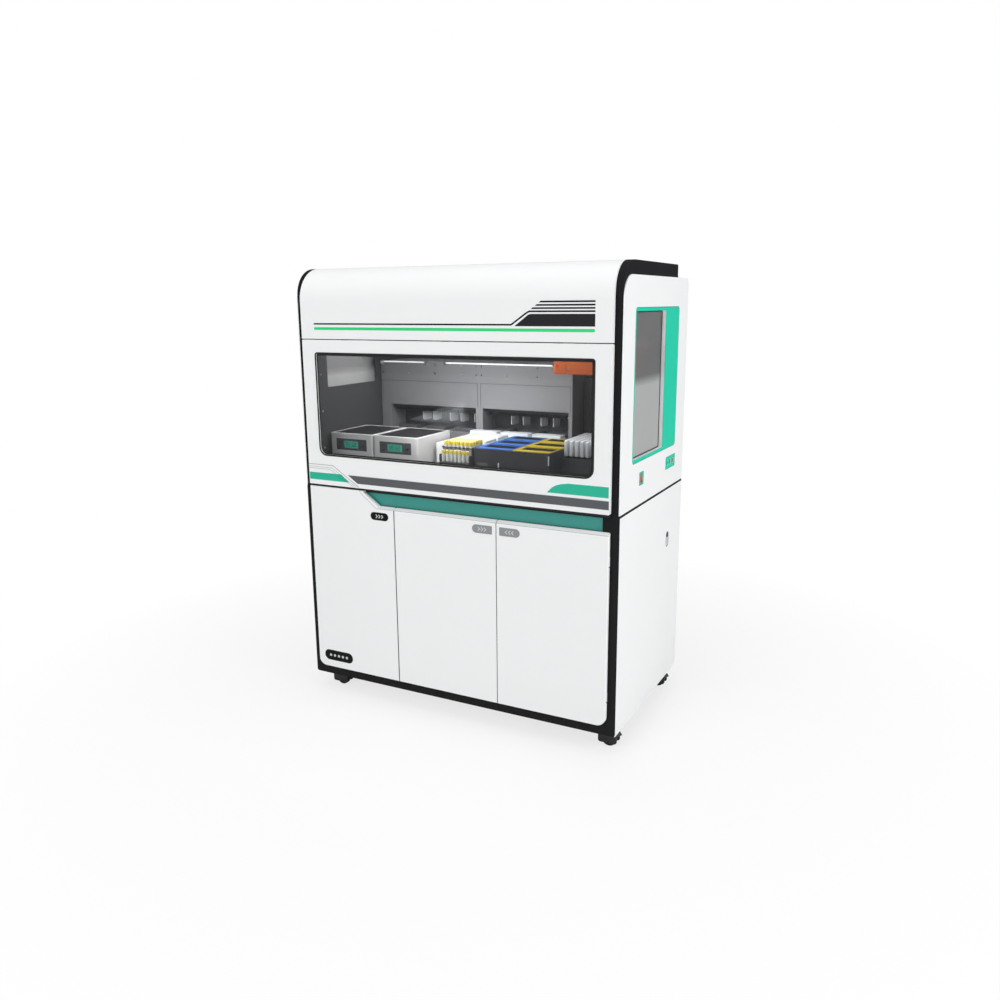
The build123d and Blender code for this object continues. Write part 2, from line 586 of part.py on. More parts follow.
def waste_bin():
    """Tapered open bin for used tips, with a rolled rim and two hand slots."""
    low = FLOOR_Z + SHEET
    foot = Plane.XY.offset(low) * Pos(BIN_X, BIN_Y) * RectangleRounded(*BIN_FOOT, BIN_R)
    mouth = Plane.XY.offset(low + BIN_H) * Pos(BIN_X, BIN_Y) * RectangleRounded(*BIN_TOP, BIN_R)
    inner_foot = Plane.XY.offset(low + SHEET) * Pos(BIN_X, BIN_Y) * RectangleRounded(
        BIN_FOOT[0] - 2 * SHEET, BIN_FOOT[1] - 2 * SHEET, BIN_R - SHEET)
    inner_mouth = Plane.XY.offset(low + BIN_H) * Pos(BIN_X, BIN_Y) * RectangleRounded(
        BIN_TOP[0] - 2 * SHEET, BIN_TOP[1] - 2 * SHEET, BIN_R - SHEET)
    shell = loft([foot, mouth]) - loft([inner_foot, inner_mouth])
    rim = RectangleRounded(BIN_TOP[0] + FLANGE, BIN_TOP[1] + FLANGE, BIN_R + FLANGE / 2)
    rim -= RectangleRounded(BIN_TOP[0] - 2 * SHEET, BIN_TOP[1] - 2 * SHEET, BIN_R - SHEET)
    shell += from_top(Pos(BIN_X, BIN_Y) * rim, low + BIN_H - SHEET, low + BIN_H)
    hand = Pos(BIN_X, low + BIN_H - 2 * BIN_R) * RectangleRounded(BIN_TOP[0] / 2, BIN_R, BIN_R / 2 - 1)
    return shell - from_front(hand, BIN_Y - BIN_TOP[1], BIN_Y + BIN_TOP[1])


# ================================================================ upper cabinet
def cheek_outline(inset=0.0):
    """Side profile of the upper cabinet: round front top, stepped roof line at the back."""
    y0, y1 = FRAME_Y + inset, BACK_Y - SHEET - inset
    z0, z1 = BENCH_Z + inset, HEIGHT - inset
    step_y, step_z = STEP_Y - inset, STEP_Z - inset
    face = make_face(Polyline((y0, z0), (y1, z0), (y1, step_z), (step_y, step_z), (step_y, z1), (y0, z1),
                              close=True))
    rounds = [((y0, z1), CHEEK_TOP_R - inset)]
    rounds += [(corner, STEP_R) for corner in ((step_y, z1), (step_y, step_z), (y1, step_z))]
    for (y, z), radius in rounds:
        face = fillet(face.vertices().sort_by_distance((y, z, 0))[0], radius)
    return face


def side_glass(grow=0.0):
    """Outline of the side window."""
    return outline(SIDE_GLASS_Y, SIDE_GLASS_Z, all_round(SIDE_GLASS_R), grow)


def side_frame():
    """Right cheek casting: outer web, rim all round and a rebated rim around the window."""
    cheek = from_side(cheek_outline(), INNER_HALF, FRAME_HALF)
    web_x = FRAME_HALF - CHEEK_SKIN
    pocket = cheek_outline(CHEEK_RIM) - side_glass(CHEEK_RIM)
    cheek -= from_side(pocket, INNER_HALF, web_x)
    cheek -= from_side(side_glass(REVEAL_T), INNER_HALF, FRAME_HALF)
    return cheek - from_side(side_glass(GLASS_LAP + GLASS_FIT), INNER_HALF, FRAME_HALF - REVEAL)


def window_panel():
    """Right upper side panel: painted skin, folded window reveal and a shallow seat for the bezel."""
    corners = {(0, 1): UPPER_PANEL_R, (1, 1): UPPER_PANEL_BACK_R}
    panel = from_side(outline((FRAME_Y, BACK_Y), (BENCH_Z, STEP_Z), corners), FRAME_HALF, HALF_W)
    panel += from_side(side_glass(REVEAL_T), FRAME_HALF - REVEAL, HALF_W)
    panel -= from_side(side_glass(), FRAME_HALF - REVEAL, HALF_W)
    return panel - from_side(outline(BEZEL_Y, BEZEL_Z, all_round(BEZEL_R)), HALF_W - BEZEL_T, HALF_W)


def small_bezels():
    """Outlines of the port and switch bezels."""
    corners = all_round(SMALL_BEZEL_R)
    return outline(PORT_Y, PORT_Z, corners), outline(SWITCH_Y, SWITCH_Z, corners)


def port_holes():
    """Row of square data ports, as an outline."""
    pitch = (PORT_Y[1] - PORT_Y[0]) / (PORT_COUNT + 0.5)
    middle_y, middle_z = sum(PORT_Y) / 2, sum(PORT_Z) / 2
    holes = Sketch()
    for i in range(PORT_COUNT):
        y = middle_y + (i - (PORT_COUNT - 1) / 2) * pitch
        holes += Pos(y, middle_z) * Rectangle(pitch / 2, pitch * PORT_SHAPE)
    return holes


def rocker_hole(grow=0.0):
    """Opening for the rocker, as an outline."""
    y, z = sum(SWITCH_Y) / 2, sum(SWITCH_Z) / 2
    return outline((y - ROCKER_Y / 2, y + ROCKER_Y / 2), (z - ROCKER_Z / 2, z + ROCKER_Z / 2), None, grow)


def upper_side_panel_right():
    """Right upper panel, which also holds the ports and the power switch."""
    panel = window_panel()
    for seat in small_bezels():
        panel -= from_side(seat, HALF_W - BEZEL_T, HALF_W)
    holes = port_holes() + rocker_hole(SEAM / 2)
    return panel - from_side(holes, FRAME_HALF, HALF_W)


def switch_seat():
    """Hole in the right cheek behind the ports and the rocker."""
    depth = ROCKER_SINK + ROCKER_BACK + SHEET
    return from_side(port_holes() + rocker_hole(SEAM / 2), HALF_W - depth, FRAME_HALF)


def rocker_pin():
    """Cross pin of the rocker, from wall to wall of its hole."""
    y, z = sum(SWITCH_Y) / 2, sum(SWITCH_Z) / 2
    half = ROCKER_Y / 2 + SEAM
    return rod_y(y - half, y + half, HALF_W - ROCKER_SINK, z, ROCKER_PIN_R)


def side_bezels():
    """Coloured plates let into the side panels: around both windows, the ports and the switch."""
    plate = outline(BEZEL_Y, BEZEL_Z, all_round(BEZEL_R)) - side_glass()
    window = from_side(plate, HALF_W - BEZEL_T, HALF_W)
    port, switch = small_bezels()
    return (window, mirrored(window), from_side(port - port_holes(), HALF_W - BEZEL_T, HALF_W),
            from_side(switch - rocker_hole(SEAM / 2), HALF_W - BEZEL_T, HALF_W))


def side_window_panes():
    """Tinted panes behind both reveals."""
    back_x = FRAME_HALF - REVEAL - SIDE_GLASS_T
    right = from_side(side_glass(GLASS_LAP), back_x, back_x + SIDE_GLASS_T)
    return right, mirrored(right)


def header_panel():
    """Front header, curved back over the top, with folded ends and lower edge."""
    radius = CHEEK_TOP_R + DOOR_PROUD
    bent = {(0, 1): radius}
    inner = {(0, 1): radius - SHEET}
    outer = outline((FRONT_Y, ROOF_Y), (HEADER_LOW_Z, HEIGHT), bent)
    cavity = outline((FRONT_Y + SHEET, ROOF_Y + 1), (HEADER_LOW_Z + SHEET, HEIGHT - SHEET), inner)
    open_back = outline((DOOR_BACK_Y, ROOF_Y + 1), (HEADER_LOW_Z - 1, HEIGHT - SHEET - radius))
    shell = from_side(outer - cavity - open_back, -INNER_HALF, INNER_HALF)
    hem_inner = outline((FRONT_Y + FLANGE, ROOF_Y + 1), (HEADER_LOW_Z - 1, HEIGHT - FLANGE),
                        {(0, 1): radius - FLANGE})
    hem = outer - hem_inner
    shell += from_side(hem, -INNER_HALF, SHEET - INNER_HALF)
    return shell + from_side(hem, INNER_HALF - SHEET, INNER_HALF)


def roof_panel():
    """Roof sheet between the cheeks, stepping down at the back and folded down the rear edge."""
    strip = cheek_outline() - cheek_outline(SHEET)
    strip &= outline((ROOF_Y, BACK_Y), (STEP_Z - RAIL, HEIGHT))
    roof = from_side(strip, -INNER_HALF, INNER_HALF)
    rib = cheek_outline(SHEET) - cheek_outline(FLANGE)
    rib &= outline((ROOF_Y, STEP_Y), (HEIGHT - FLANGE, HEIGHT))
    for x in (-INNER_HALF, -SHEET / 2, INNER_HALF - SHEET):
        roof += from_side(rib, x, x + SHEET)
    return roof


def upper_back_panel():
    """Upper rear cover with two filtered vent fields."""
    corners = {(0, 1): RING_CORNER_R, (1, 1): RING_CORNER_R}
    sketch = outline((-FRAME_HALF, FRAME_HALF), (BENCH_Z, STEP_Z), corners)
    for x in (-STATION_X[2], STATION_X[2]):
        sketch -= Pos(x, STEP_Z - 2 * CHEEK_TOP_R) * vents(TOP_VENT_ROWS)
    return from_front(sketch, BACK_Y - SHEET, BACK_Y)


def side_liner(low):
    """Dark inner sheet of the right cheek; low is the bottom of its window."""
    sheet = outline((DECK_FRONT_Y, LINER_BACK_Y), (DECK_Z, LINER_TOP_Z))
    hole = outline(SIDE_GLASS_Y, (low, SIDE_GLASS_Z[1]), all_round(SIDE_GLASS_R))
    return from_side(sheet - hole, LINER_HALF, INNER_HALF)


def liner_back():
    """Dark inner rear sheet, folded forward along its top."""
    profile = outline((LINER_BACK_Y - LINER_T, LINER_BACK_Y), (DECK_Z, LINER_TOP_Z))
    profile += outline((LINER_BACK_Y - FLANGE, LINER_BACK_Y), (LINER_TOP_Z - LINER_T, LINER_TOP_Z))
    return from_side(profile, -LINER_HALF, LINER_HALF)


def deck_plate():
    """Deck pan: working surface folded down all round onto the bench plate."""
    span_x, span_y = (-INNER_HALF, INNER_HALF), (DECK_FRONT_Y, REAR_FRAME_Y)
    pan = from_top(outline(span_x, span_y, all_round(SMALL_BEZEL_R)), BENCH_Z, DECK_Z)
    hollow = outline(span_x, span_y, all_round(SMALL_BEZEL_R), -DECK_T)
    return pan - from_top(hollow, BENCH_Z, DECK_Z - DECK_T)


def hood_arm():
    """Hinge arm turned so that its pin lies along X."""
    return Rot(0, 90, 0) * hinge_arm()


def hood_hinge_rail():
    """Rail between the cheeks with the three arms of the hood hinge."""
    rail = slab(-LINER_HALF, LINER_HALF, FRAME_Y, FRAME_Y + HINGE_RAIL_DEPTH,
                HOOD_TOP_Z - HINGE_RAIL_DOWN, HOOD_TOP_Z + HINGE_RAIL_UP)
    rail = fillet(rail.edges().filter_by(Axis.X), HINGE_ROUND)
    for x in HOOD_HINGES:
        rail += Pos(x, AXIS_Y, HOOD_TOP_Z - HINGE_EDGE) * hood_arm()
    return rail


# ================================================================ hood
def window_outline(grow=0.0):
    """Outline of the hood window."""
    corners = {(i, j): (WINDOW_LOW_R, WINDOW_TOP_R)[j] for i in (0, 1) for j in (0, 1)}
    return outline((-WINDOW_HALF, WINDOW_HALF), WINDOW_Z, corners, grow)


def hood_frame():
    """Folded hood with a lipped window opening, a hollow back and a solid top stile for the pins."""
    front = outline((-DOOR_HALF, DOOR_HALF), (HOOD_LOW_Z, HOOD_TOP_Z), all_round(HOOD_RIM))
    section = outline((FRONT_Y, DOOR_BACK_Y), (HOOD_LOW_Z, HOOD_TOP_Z), {(0, 1): HINGE_ROUND})
    back_top = section.vertices().sort_by_distance((DOOR_BACK_Y, HOOD_TOP_Z, 0))[0]
    section = chamfer(back_top, HINGE_BEVEL)
    hood = from_side(section, -DOOR_HALF, DOOR_HALF) & from_front(front, FRONT_Y - SHEET, DOOR_BACK_Y + SHEET)
    hood -= from_front(window_outline(), FRONT_Y, DOOR_BACK_Y)
    hood -= from_front(window_outline(GLASS_LAP + GLASS_FIT), FRONT_Y + HOOD_RIM, DOOR_BACK_Y)
    hollow = outline((SHEET - DOOR_HALF, DOOR_HALF - SHEET), (HOOD_LOW_Z + SHEET, HOOD_TOP_Z - STILE))
    hollow -= window_outline(GLASS_LAP + HOOD_RIM)
    hood -= from_front(hollow, FRONT_Y + SHEET, DOOR_BACK_Y)
    reach = EYE_H / 2 + NOTCH_SLACK
    for x in HOOD_HINGES:
        z = HOOD_TOP_Z - HINGE_EDGE
        hood -= slab(x - reach, x + reach, FRONT_Y + SHEET, DOOR_BACK_Y + 1,
                     z - HINGE_EDGE, z + HINGE_EDGE + 1)
        hood -= rod_x(x - reach - PIN_REACH, x + reach + PIN_REACH, AXIS_Y, z, PIN_R + PIN_FIT)
    return hood


def hood_window():
    """Tinted pane against the hood's lip."""
    front = FRONT_Y + HOOD_RIM
    return from_front(window_outline(GLASS_LAP), front, front + GLASS_T)


# ================================================================ stations and deck items
def station(index):
    """Extraction station: housing with an open cavity under its head block."""
    x0, x1 = STATION_X[index], STATION_X[index + 1]
    left = CAVITY_LEFT_WALL if index == 0 else CAVITY_WALL
    profile = outline((x0, x1), (DECK_Z, STATION_TOP_Z), {(i, 1): HINGE_ROUND for i in (0, 1)})
    body = from_front(profile, *STATION_Y)
    upper = {(i, 1): SMALL_BEZEL_R for i in (0, 1)}
    cavity = outline((x0 + left, x1 - CAVITY_WALL), (STAGE_Z, CAVITY_TOP_Z), upper)
    body -= from_front(cavity, STATION_Y[0], STATION_Y[1] - STATION_BACK_T)
    seam_z = STATION_TOP_Z - STATION_SEAM
    seam = outline((x0, x1), (seam_z - SHEET, seam_z))
    return body - from_front(seam, STATION_Y[0], STATION_Y[0] + SHEET / 2)


def station_brackets():
    """Folded L-brackets on the back wall of each cavity, tab at the top turned to the left."""
    back = STATION_Y[1] - STATION_BACK_T
    low, high = BRACKET_Z
    pieces = []
    for x in BRACKET_X:
        profile = outline((x - BRACKET_T, x), (low, high))
        profile += outline((x - BRACKET_TAB, x), (high - BRACKET_T, high))
        fin = from_front(profile, back - BRACKET_FIN, back)
        foot = slab(x - BRACKET_TAB, x, back - BRACKET_T, back, high - BRACKET_TAB, high)
        relief = make_face(Polyline((back - BRACKET_FIN, low), (back - BRACKET_FIN + FLANGE, low),
                                    (back - BRACKET_FIN, low + SMALL_BEZEL_R), close=True))
        pieces.append(fin + foot - from_side(relief, x - BRACKET_T, x))
    return pieces


def plate_stage():
    """Light work surface in front of the stations, running forward beside the tip racks, on its own wall."""
    right = STATION_X[2]
    left = CARRIER_X[0] - TUBE_RACK_GAP
    front = TUBE_RACK_Y[1] + TUBE_RACK_GAP
    top = outline((STAGE_LEFT_X, right), (STAGE_FRONT_Y, STATION_Y[0]))
    top += outline((STAGE_LEFT_X, left), (front, STAGE_FRONT_Y))
    stage = from_top(top, STAGE_Z - STAGE_T, STAGE_Z)
    stage += slab(STAGE_LEFT_X, right, STATION_Y[0] - STAGE_T, STATION_Y[0], DECK_Z, STAGE_Z)
    return stage + slab(STAGE_LEFT_X, left, front, front + STAGE_T, DECK_Z, STAGE_Z)


def heater_housings():
    """Two heater modules with rounded upright edges and a seat for the top plate."""
    modules = []
    for x in HEATER_X:
        span_x = (x, x + HEATER_W)
        body = from_top(outline(span_x, HEATER_Y, all_round(HEATER_R)), DECK_Z, HEATER_TOP_Z)
        seat = outline(span_x, HEATER_Y, all_round(HEATER_R), -HEATER_RIM / 2)
        body -= from_top(seat, HEATER_TOP_Z - HEATER_PLATE_T, HEATER_TOP_Z)
        panel = outline((x + DISPLAY_IN, x + HEATER_W - DISPLAY_IN), DISPLAY_Z)
        modules.append(body - from_front(panel, HEATER_Y[0], HEATER_Y[0] + DISPLAY_T))
    return modules


def heater_top_plates():
    """Dark heating plates, flush with the tops of the housings."""
    plates = []
    for x in HEATER_X:
        seat = outline((x, x + HEATER_W), HEATER_Y, all_round(HEATER_R), -HEATER_RIM / 2)
        plates.append(from_top(seat, HEATER_TOP_Z - HEATER_PLATE_T, HEATER_TOP_Z))
    return plates


def heater_displays():
    """Control panel of each heater, flush in its front."""
    panels = []
    for x in HEATER_X:
        panel = outline((x + DISPLAY_IN, x + HEATER_W - DISPLAY_IN), DISPLAY_Z)
        panels.append(from_front(panel, HEATER_Y[0], HEATER_Y[0] + DISPLAY_T))
    return panels


def tube_places():
    """Centres of the reagent tubes."""
    left = TUBE_RACK_X[0] + TUBE_RACK_WALL
    pitch_x = (TUBE_RACK_X[1] - TUBE_RACK_WALL - left) / TUBE_COLS
    pitch_y = (TUBE_RACK_Y[1] - TUBE_RACK_Y[0]) / TUBE_ROWS
    return [(left + (i + 0.5) * pitch_x, TUBE_RACK_Y[0] + (j + 0.5) * pitch_y)
            for i in range(TUBE_COLS) for j in range(TUBE_ROWS)]


def tube_rack():
    """Open two-deck rack: foot, two drilled shelves and end walls."""
    span = outline(TUBE_RACK_X, TUBE_RACK_Y, all_round(HINGE_ROUND))
    holes = Sketch()
    for x, y in tube_places():
        holes += Pos(x, y) * Circle(TUBE_R + TUBE_FIT)
    rack = from_top(span, DECK_Z, DECK_Z + TUBE_SHELF_T)
    middle = (DECK_Z + TUBE_RACK_TOP_Z) / 2
    for z in (middle, TUBE_RACK_TOP_Z):
        rack += from_top(span - holes, z - TUBE_SHELF_T, z)
    for x in (TUBE_RACK_X[0], TUBE_RACK_X[1] - TUBE_RACK_WALL):
        rack += slab(x, x + TUBE_RACK_WALL, TUBE_RACK_Y[0] + HINGE_ROUND, TUBE_RACK_Y[1] - HINGE_ROUND,
                     DECK_Z, TUBE_RACK_TOP_Z)
    return rack


def capped_tubes():
    """Screw-cap tubes standing in the rack, each one revolved."""
    low, shoulder = DECK_Z + TUBE_SHELF_T, TUBE_TOP_Z - TUBE_CAP_H
    profile = make_face(Polyline((0, low), (TUBE_R / 2, low), (TUBE_R, low + TUBE_CAP_H), (TUBE_R, shoulder),
                                 (TUBE_CAP_R, shoulder), (TUBE_CAP_R, TUBE_TOP_Z), (0, TUBE_TOP_Z), close=True))
    tube = revolve(Plane.XZ * profile, Axis.Z)
    return [Pos(x, y, 0) * tube for x, y in tube_places()]


def tip_rows():
    """Front edges of the tip-rack rows."""
    return [TIP_FRONT_Y + row * TIP_PITCH_Y for row in range(TIP_ROWS)]


def tip_rack_carrier():
    """Dark block with one pocket for each tip rack."""
    depth = (TIP_ROWS - 1) * TIP_PITCH_Y + TIP_D + 2 * CARRIER_WALL
    span_y = (TIP_FRONT_Y - CARRIER_WALL, TIP_FRONT_Y - CARRIER_WALL + depth)
    block = from_top(outline(CARRIER_X, span_y, all_round(HINGE_ROUND)), DECK_Z, TIP_TOP_Z - SHEET)
    for x in TIP_X:
        for y in tip_rows():
            pocket = outline((x, x + TIP_W), (y, y + TIP_D), all_round(SMALL_BEZEL_R), TIP_FIT)
            block -= from_top(pocket, TIP_TOP_Z - TIP_POCKET, TIP_TOP_Z)
    return block


def tip_racks(x):
    """Three coloured tip racks, each a shell with a stepped front lip and a drilled top."""
    racks = []
    for y in tip_rows():
        body = from_top(outline((x, x + TIP_W), (y, y + TIP_D), all_round(SMALL_BEZEL_R)),
                        TIP_TOP_Z - TIP_POCKET, TIP_TOP_Z)
        field = outline((x + FLANGE, x + TIP_W - SMALL_BEZEL_R), (y + TIP_LIP, y + TIP_D - SMALL_BEZEL_R))
        racks.append(body - from_top(field, TIP_TOP_Z - TIP_DIP, TIP_TOP_Z))
    return racks


def strip_places():
    """Middle X of each sample strip."""
    return [STRIP_X[0] + (i + 0.5) * STRIP_PITCH for i in range(STRIP_COUNT)]


def strip_rack_tray():
    """Walled tray whose thick floor is slotted like a comb for the sample strips."""
    tray = from_top(outline(STRIP_X, STRIP_Y, all_round(SMALL_BEZEL_R), TRAY_WALL), DECK_Z, TRAY_TOP_Z)
    tray -= from_top(outline(STRIP_X, STRIP_Y), DECK_Z + COMB_H, TRAY_TOP_Z)
    half = STRIP_T / 2 + STRIP_FIT
    for x in strip_places():
        tray -= slab(x - half, x + half, *STRIP_Y, DECK_Z + TRAY_WALL, DECK_Z + COMB_H)
    return tray


def strip_racks():
    """Upright sample strips with rounded top corners and a finger notch at the front."""
    y0, y1 = STRIP_Y[0] + STRIP_FIT, STRIP_Y[1] - STRIP_FIT
    upper = {(i, 1): SMALL_BEZEL_R for i in (0, 1)}
    side = outline((y0, y1), (DECK_Z + TRAY_WALL, STRIP_TOP_Z), upper)
    side -= Pos(y0 + 2 * NOTCH_R, STRIP_TOP_Z - 2 * NOTCH_R) * Circle(NOTCH_R)
    return [from_side(side, x - STRIP_T / 2, x + STRIP_T / 2) for x in strip_places()]


# ================================================================ gantry
def x_rail_beam():
    """Extruded beam across the chamber with T-slots and a linear guide on its front."""
    depth, height = BEAM_Y[1] - BEAM_Y[0], BEAM_Z[1] - BEAM_Z[0]
    middle_z = sum(BEAM_Z) / 2
    profile = outline(BEAM_Y, BEAM_Z, all_round(HINGE_ROUND))
    for z in (middle_z - height / 4, middle_z + height / 4):
        mouth = Pos(BEAM_Y[1], z) * Rectangle(depth / 3, depth / 5)
        throat = Pos(BEAM_Y[1] - depth / 6, z) * Rectangle(depth / 8, depth / 2.5)
        profile -= mouth + throat
    guide = outline((BEAM_Y[0] - GUIDE_T, BEAM_Y[0]), (middle_z - GUIDE_H / 2, middle_z + GUIDE_H / 2))
    waist = Pos(BEAM_Y[0] - GUIDE_T / 2, middle_z + GUIDE_H / 2) * Circle(GUIDE_T / 4)
    waist += Pos(BEAM_Y[0] - GUIDE_T / 2, middle_z - GUIDE_H / 2) * Circle(GUIDE_T / 4)
    beam = from_side(profile + guide - waist, -LINER_HALF, LINER_HALF)
    for x in BEAM_BRACKET_X:
        beam += Pos(x, 0, 0) * beam_bracket()
    return beam


def beam_bracket():
    """Gusset from the back of the beam to the rear liner, with a lightening hole and a foot."""
    wall_y = LINER_BACK_Y - LINER_T
    low, high = BEAM_Z
    gusset = make_face(Polyline((BEAM_Y[1], low), (wall_y, low), (wall_y, high + FLANGE), (BEAM_Y[1], high),
                                close=True))
    width, height = (wall_y - BEAM_Y[1]) * 0.7, (high - low) * 0.4
    hole = RectangleRounded(width, height, height * 0.375)
    gusset -= Pos((BEAM_Y[1] + wall_y) / 2, (low + high) / 2) * hole
    half = BEAM_BRACKET_T / 2
    foot = slab(-FLANGE, FLANGE, wall_y - BEAM_BRACKET_T, wall_y, low - FLANGE, high + FLANGE)
    return from_side(gusset, -half, half) + foot


def arm_carriage():
    """Arm housing on the guide: rounded cover with a bearing channel behind and a head guide at its end."""
    body = outline(ARM_X, (ARM_FRONT_Y, ARM_BACK_Y), {(0, 0): ARM_R, (0, 1): ARM_R})
    arm = from_top(body, *ARM_Z)
    middle_z = sum(BEAM_Z) / 2
    reach = GUIDE_H / 2 + ARM_SLACK
    for z0, z1 in ((middle_z + reach, middle_z + 2 * reach), (middle_z - 2 * reach, middle_z - reach)):
        arm += slab(ARM_X[0] + FLANGE, ARM_X[1] - FLANGE, ARM_BACK_Y, BEAM_Y[0] - ARM_SLACK, z0, z1)
    lower = arm.edges().filter_by(Axis.X).sort_by(Axis.Z)[0:1]
    arm = fillet(lower, HINGE_ROUND)
    middle_y = (ARM_FRONT_Y + ARM_BACK_Y) / 2
    arm += slab(ARM_X[1], ARM_X[1] + GUIDE_T, middle_y - GUIDE_H / 2, middle_y + GUIDE_H / 2, *ARM_Z)
    return arm


def pipette_head():
    """Head housing that slides down the guide on the end of the arm."""
    body = outline(HEAD_X, (ARM_FRONT_Y, ARM_BACK_Y), {(1, 0): ARM_R, (1, 1): ARM_R})
    head = from_top(body, *HEAD_Z)
    middle_y = (ARM_FRONT_Y + ARM_BACK_Y) / 2
    reach = GUIDE_H / 2 + ARM_SLACK
    shoe_x0, shoe_x1 = ARM_X[1] + ARM_SLACK, HEAD_X[0]
    for y0, y1 in ((middle_y - 2 * reach, middle_y - reach), (middle_y + reach, middle_y + 2 * reach)):
        head += slab(shoe_x0, shoe_x1, y0, y1, HEAD_Z[0] + FLANGE, HEAD_Z[1] - FLANGE)
    return head


def pipette_nozzles():
    """Row of stepped nozzles under the head."""
    x = (HEAD_X[0] + HEAD_X[1]) / 2
    middle_y = (ARM_FRONT_Y + ARM_BACK_Y) / 2
    profile = make_face(Polyline((0, 0), (NOZZLE_R, 0), (NOZZLE_R, -NOZZLE_L / 2), (NOZZLE_TIP_R, -NOZZLE_L),
                                 (0, -NOZZLE_L), close=True))
    nozzle = revolve(Plane.XZ * profile, Axis.Z)
    first_y = middle_y - (NOZZLES - 1) / 2 * NOZZLE_PITCH
    return [Pos(x, first_y + i * NOZZLE_PITCH, HEAD_Z[0]) * nozzle for i in range(NOZZLES)]


# ================================================================ side fittings
def switch_rocker():
    """Power rocker: dished face, rounded back and a bore for its cross pin, tipped to one side."""
    y, z = sum(SWITCH_Y) / 2, sum(SWITCH_Z) / 2
    half = ROCKER_Z / 2
    face = make_face(Polyline((ROCKER_FACE, half), (ROCKER_FACE - ROCKER_DISH, 0), (ROCKER_FACE, -half),
                              (0, -half), (-ROCKER_BACK, -half / 4), (-ROCKER_BACK, half / 4), (0, half),
                              close=True))
    face -= Circle(ROCKER_PIN_R + PIN_FIT)
    section = Rot(0, 0, ROCKER_TILT) * face
    front = y - ROCKER_Y / 2
    plane = Plane(origin=(HALF_W - ROCKER_SINK, front, z), x_dir=(1, 0, 0), z_dir=(0, -1, 0))
    return extrude(plane * section, amount=-ROCKER_Y)


def lever_axis():
    """X and Z of the latch lever's pin."""
    return HALF_W - LEVER_T / 2, LATCH_Z[0] + SHEET + LEVER_L - LEVER_T / 2


def side_latch_body():
    """Latch cup let into the lower right side panel, with a key cylinder and the lever's pin."""
    axis_x, axis_z = lever_axis()
    half = (LATCH_W - 2 * SEAM) / 2
    cup = from_side(latch_outline(), FRAME_HALF - LATCH_DEPTH, HALF_W)
    room_z = (LATCH_Z[0] + SHEET, axis_z + LEVER_T / 2)
    room = outline((LATCH_Y - half, LATCH_Y + half), room_z, lever_corners())
    cup -= from_side(room, HALF_W - 2 * LEVER_T, HALF_W)
    key_z = (axis_z + LEVER_T / 2 + LATCH_Z[1]) / 2
    ring = Pos(LATCH_Y, key_z) * (Circle(LATCH_W / 4) - Circle(LATCH_W / 5))
    cup -= from_side(ring, HALF_W - SHEET / 2, HALF_W)
    return cup + rod_y(LATCH_Y - half, LATCH_Y + half, axis_x, axis_z, LEVER_PIN_R)


def lever_corners():
    """Round lower end of the lever and of the room behind it."""
    radius = (LATCH_W - 2 * SEAM) / 2 - SHEET
    return {(0, 0): radius, (1, 0): radius}


def side_latch_lever():
    """Pull lever of the latch, flush when closed, rounded about its pin."""
    axis_x, axis_z = lever_axis()
    half = (LATCH_W - 2 * SEAM) / 2
    span = (LATCH_Y - half, LATCH_Y + half)
    face = outline(span, (LATCH_Z[0] + SHEET, axis_z), lever_corners(), -LEVER_GAP)
    lever = from_side(face, HALF_W - LEVER_T, HALF_W)
    y0, y1 = span[0] + LEVER_GAP, span[1] - LEVER_GAP
    lever += slab(HALF_W - LEVER_T, HALF_W, y0, y1, axis_z - LEVER_T, axis_z)
    barrel = rod_y(y0, y1, axis_x, axis_z, LEVER_T / 2)
    bore = rod_y(span[0], span[1], axis_x, axis_z, LEVER_PIN_R + PIN_FIT)
    return lever + barrel - bore


# ================================================================ casters
def caster_centres():
    """Swivel axes of the four casters."""
    return [(i * CASTER_X, j * CASTER_Y) for i in (-1, 1) for j in (-1, 1)]


def caster_plates():
    """Mounting plate and swivel stem of each caster."""
    pieces = []
    low = CASTER_H - CASTER_PLATE_T
    for x, y in caster_centres():
        plate = RectangleRounded(CASTER_PLATE, CASTER_PLATE, HINGE_ROUND * 2)
        for i in (-1, 1):
            for j in (-1, 1):
                plate -= Pos(i * CASTER_BOLT_PITCH / 2, j * CASTER_BOLT_PITCH / 2) * Circle(CASTER_BOLT_R)
        pieces.append(from_top(Pos(x, y) * plate, low, CASTER_H) + pillar(x, y, low - STEM_L, low, STEM_R))
    return pieces


def caster_fork():
    """Swivel fork at the origin of its stem, cheeks trailing to the axle."""
    top = CASTER_H - CASTER_PLATE_T - ARM_SLACK
    under = top - FORK_TOP_T
    half = WHEEL_W / 2 + WHEEL_FIT
    crown = Circle(STEM_R * 2.6)
    fork = from_top(crown, under, top)
    low = WHEEL_R - AXLE_R * 1.5
    cheek = Polyline((-STEM_R * 1.6, top), (STEM_R * 1.6, top), (TRAIL + AXLE_R * 2, WHEEL_R + AXLE_R),
                     (TRAIL + AXLE_R * 2, low), (TRAIL - AXLE_R * 2, low), close=True)
    web = make_face(cheek)
    fork += from_front(web, -half - FORK_T, -half)
    fork += from_front(web, half, half + FORK_T)
    fork -= pillar(0, 0, 0, top + 1, STEM_R + PIN_FIT)
    return fork + rod_y(-half, half, TRAIL, WHEEL_R, AXLE_R)


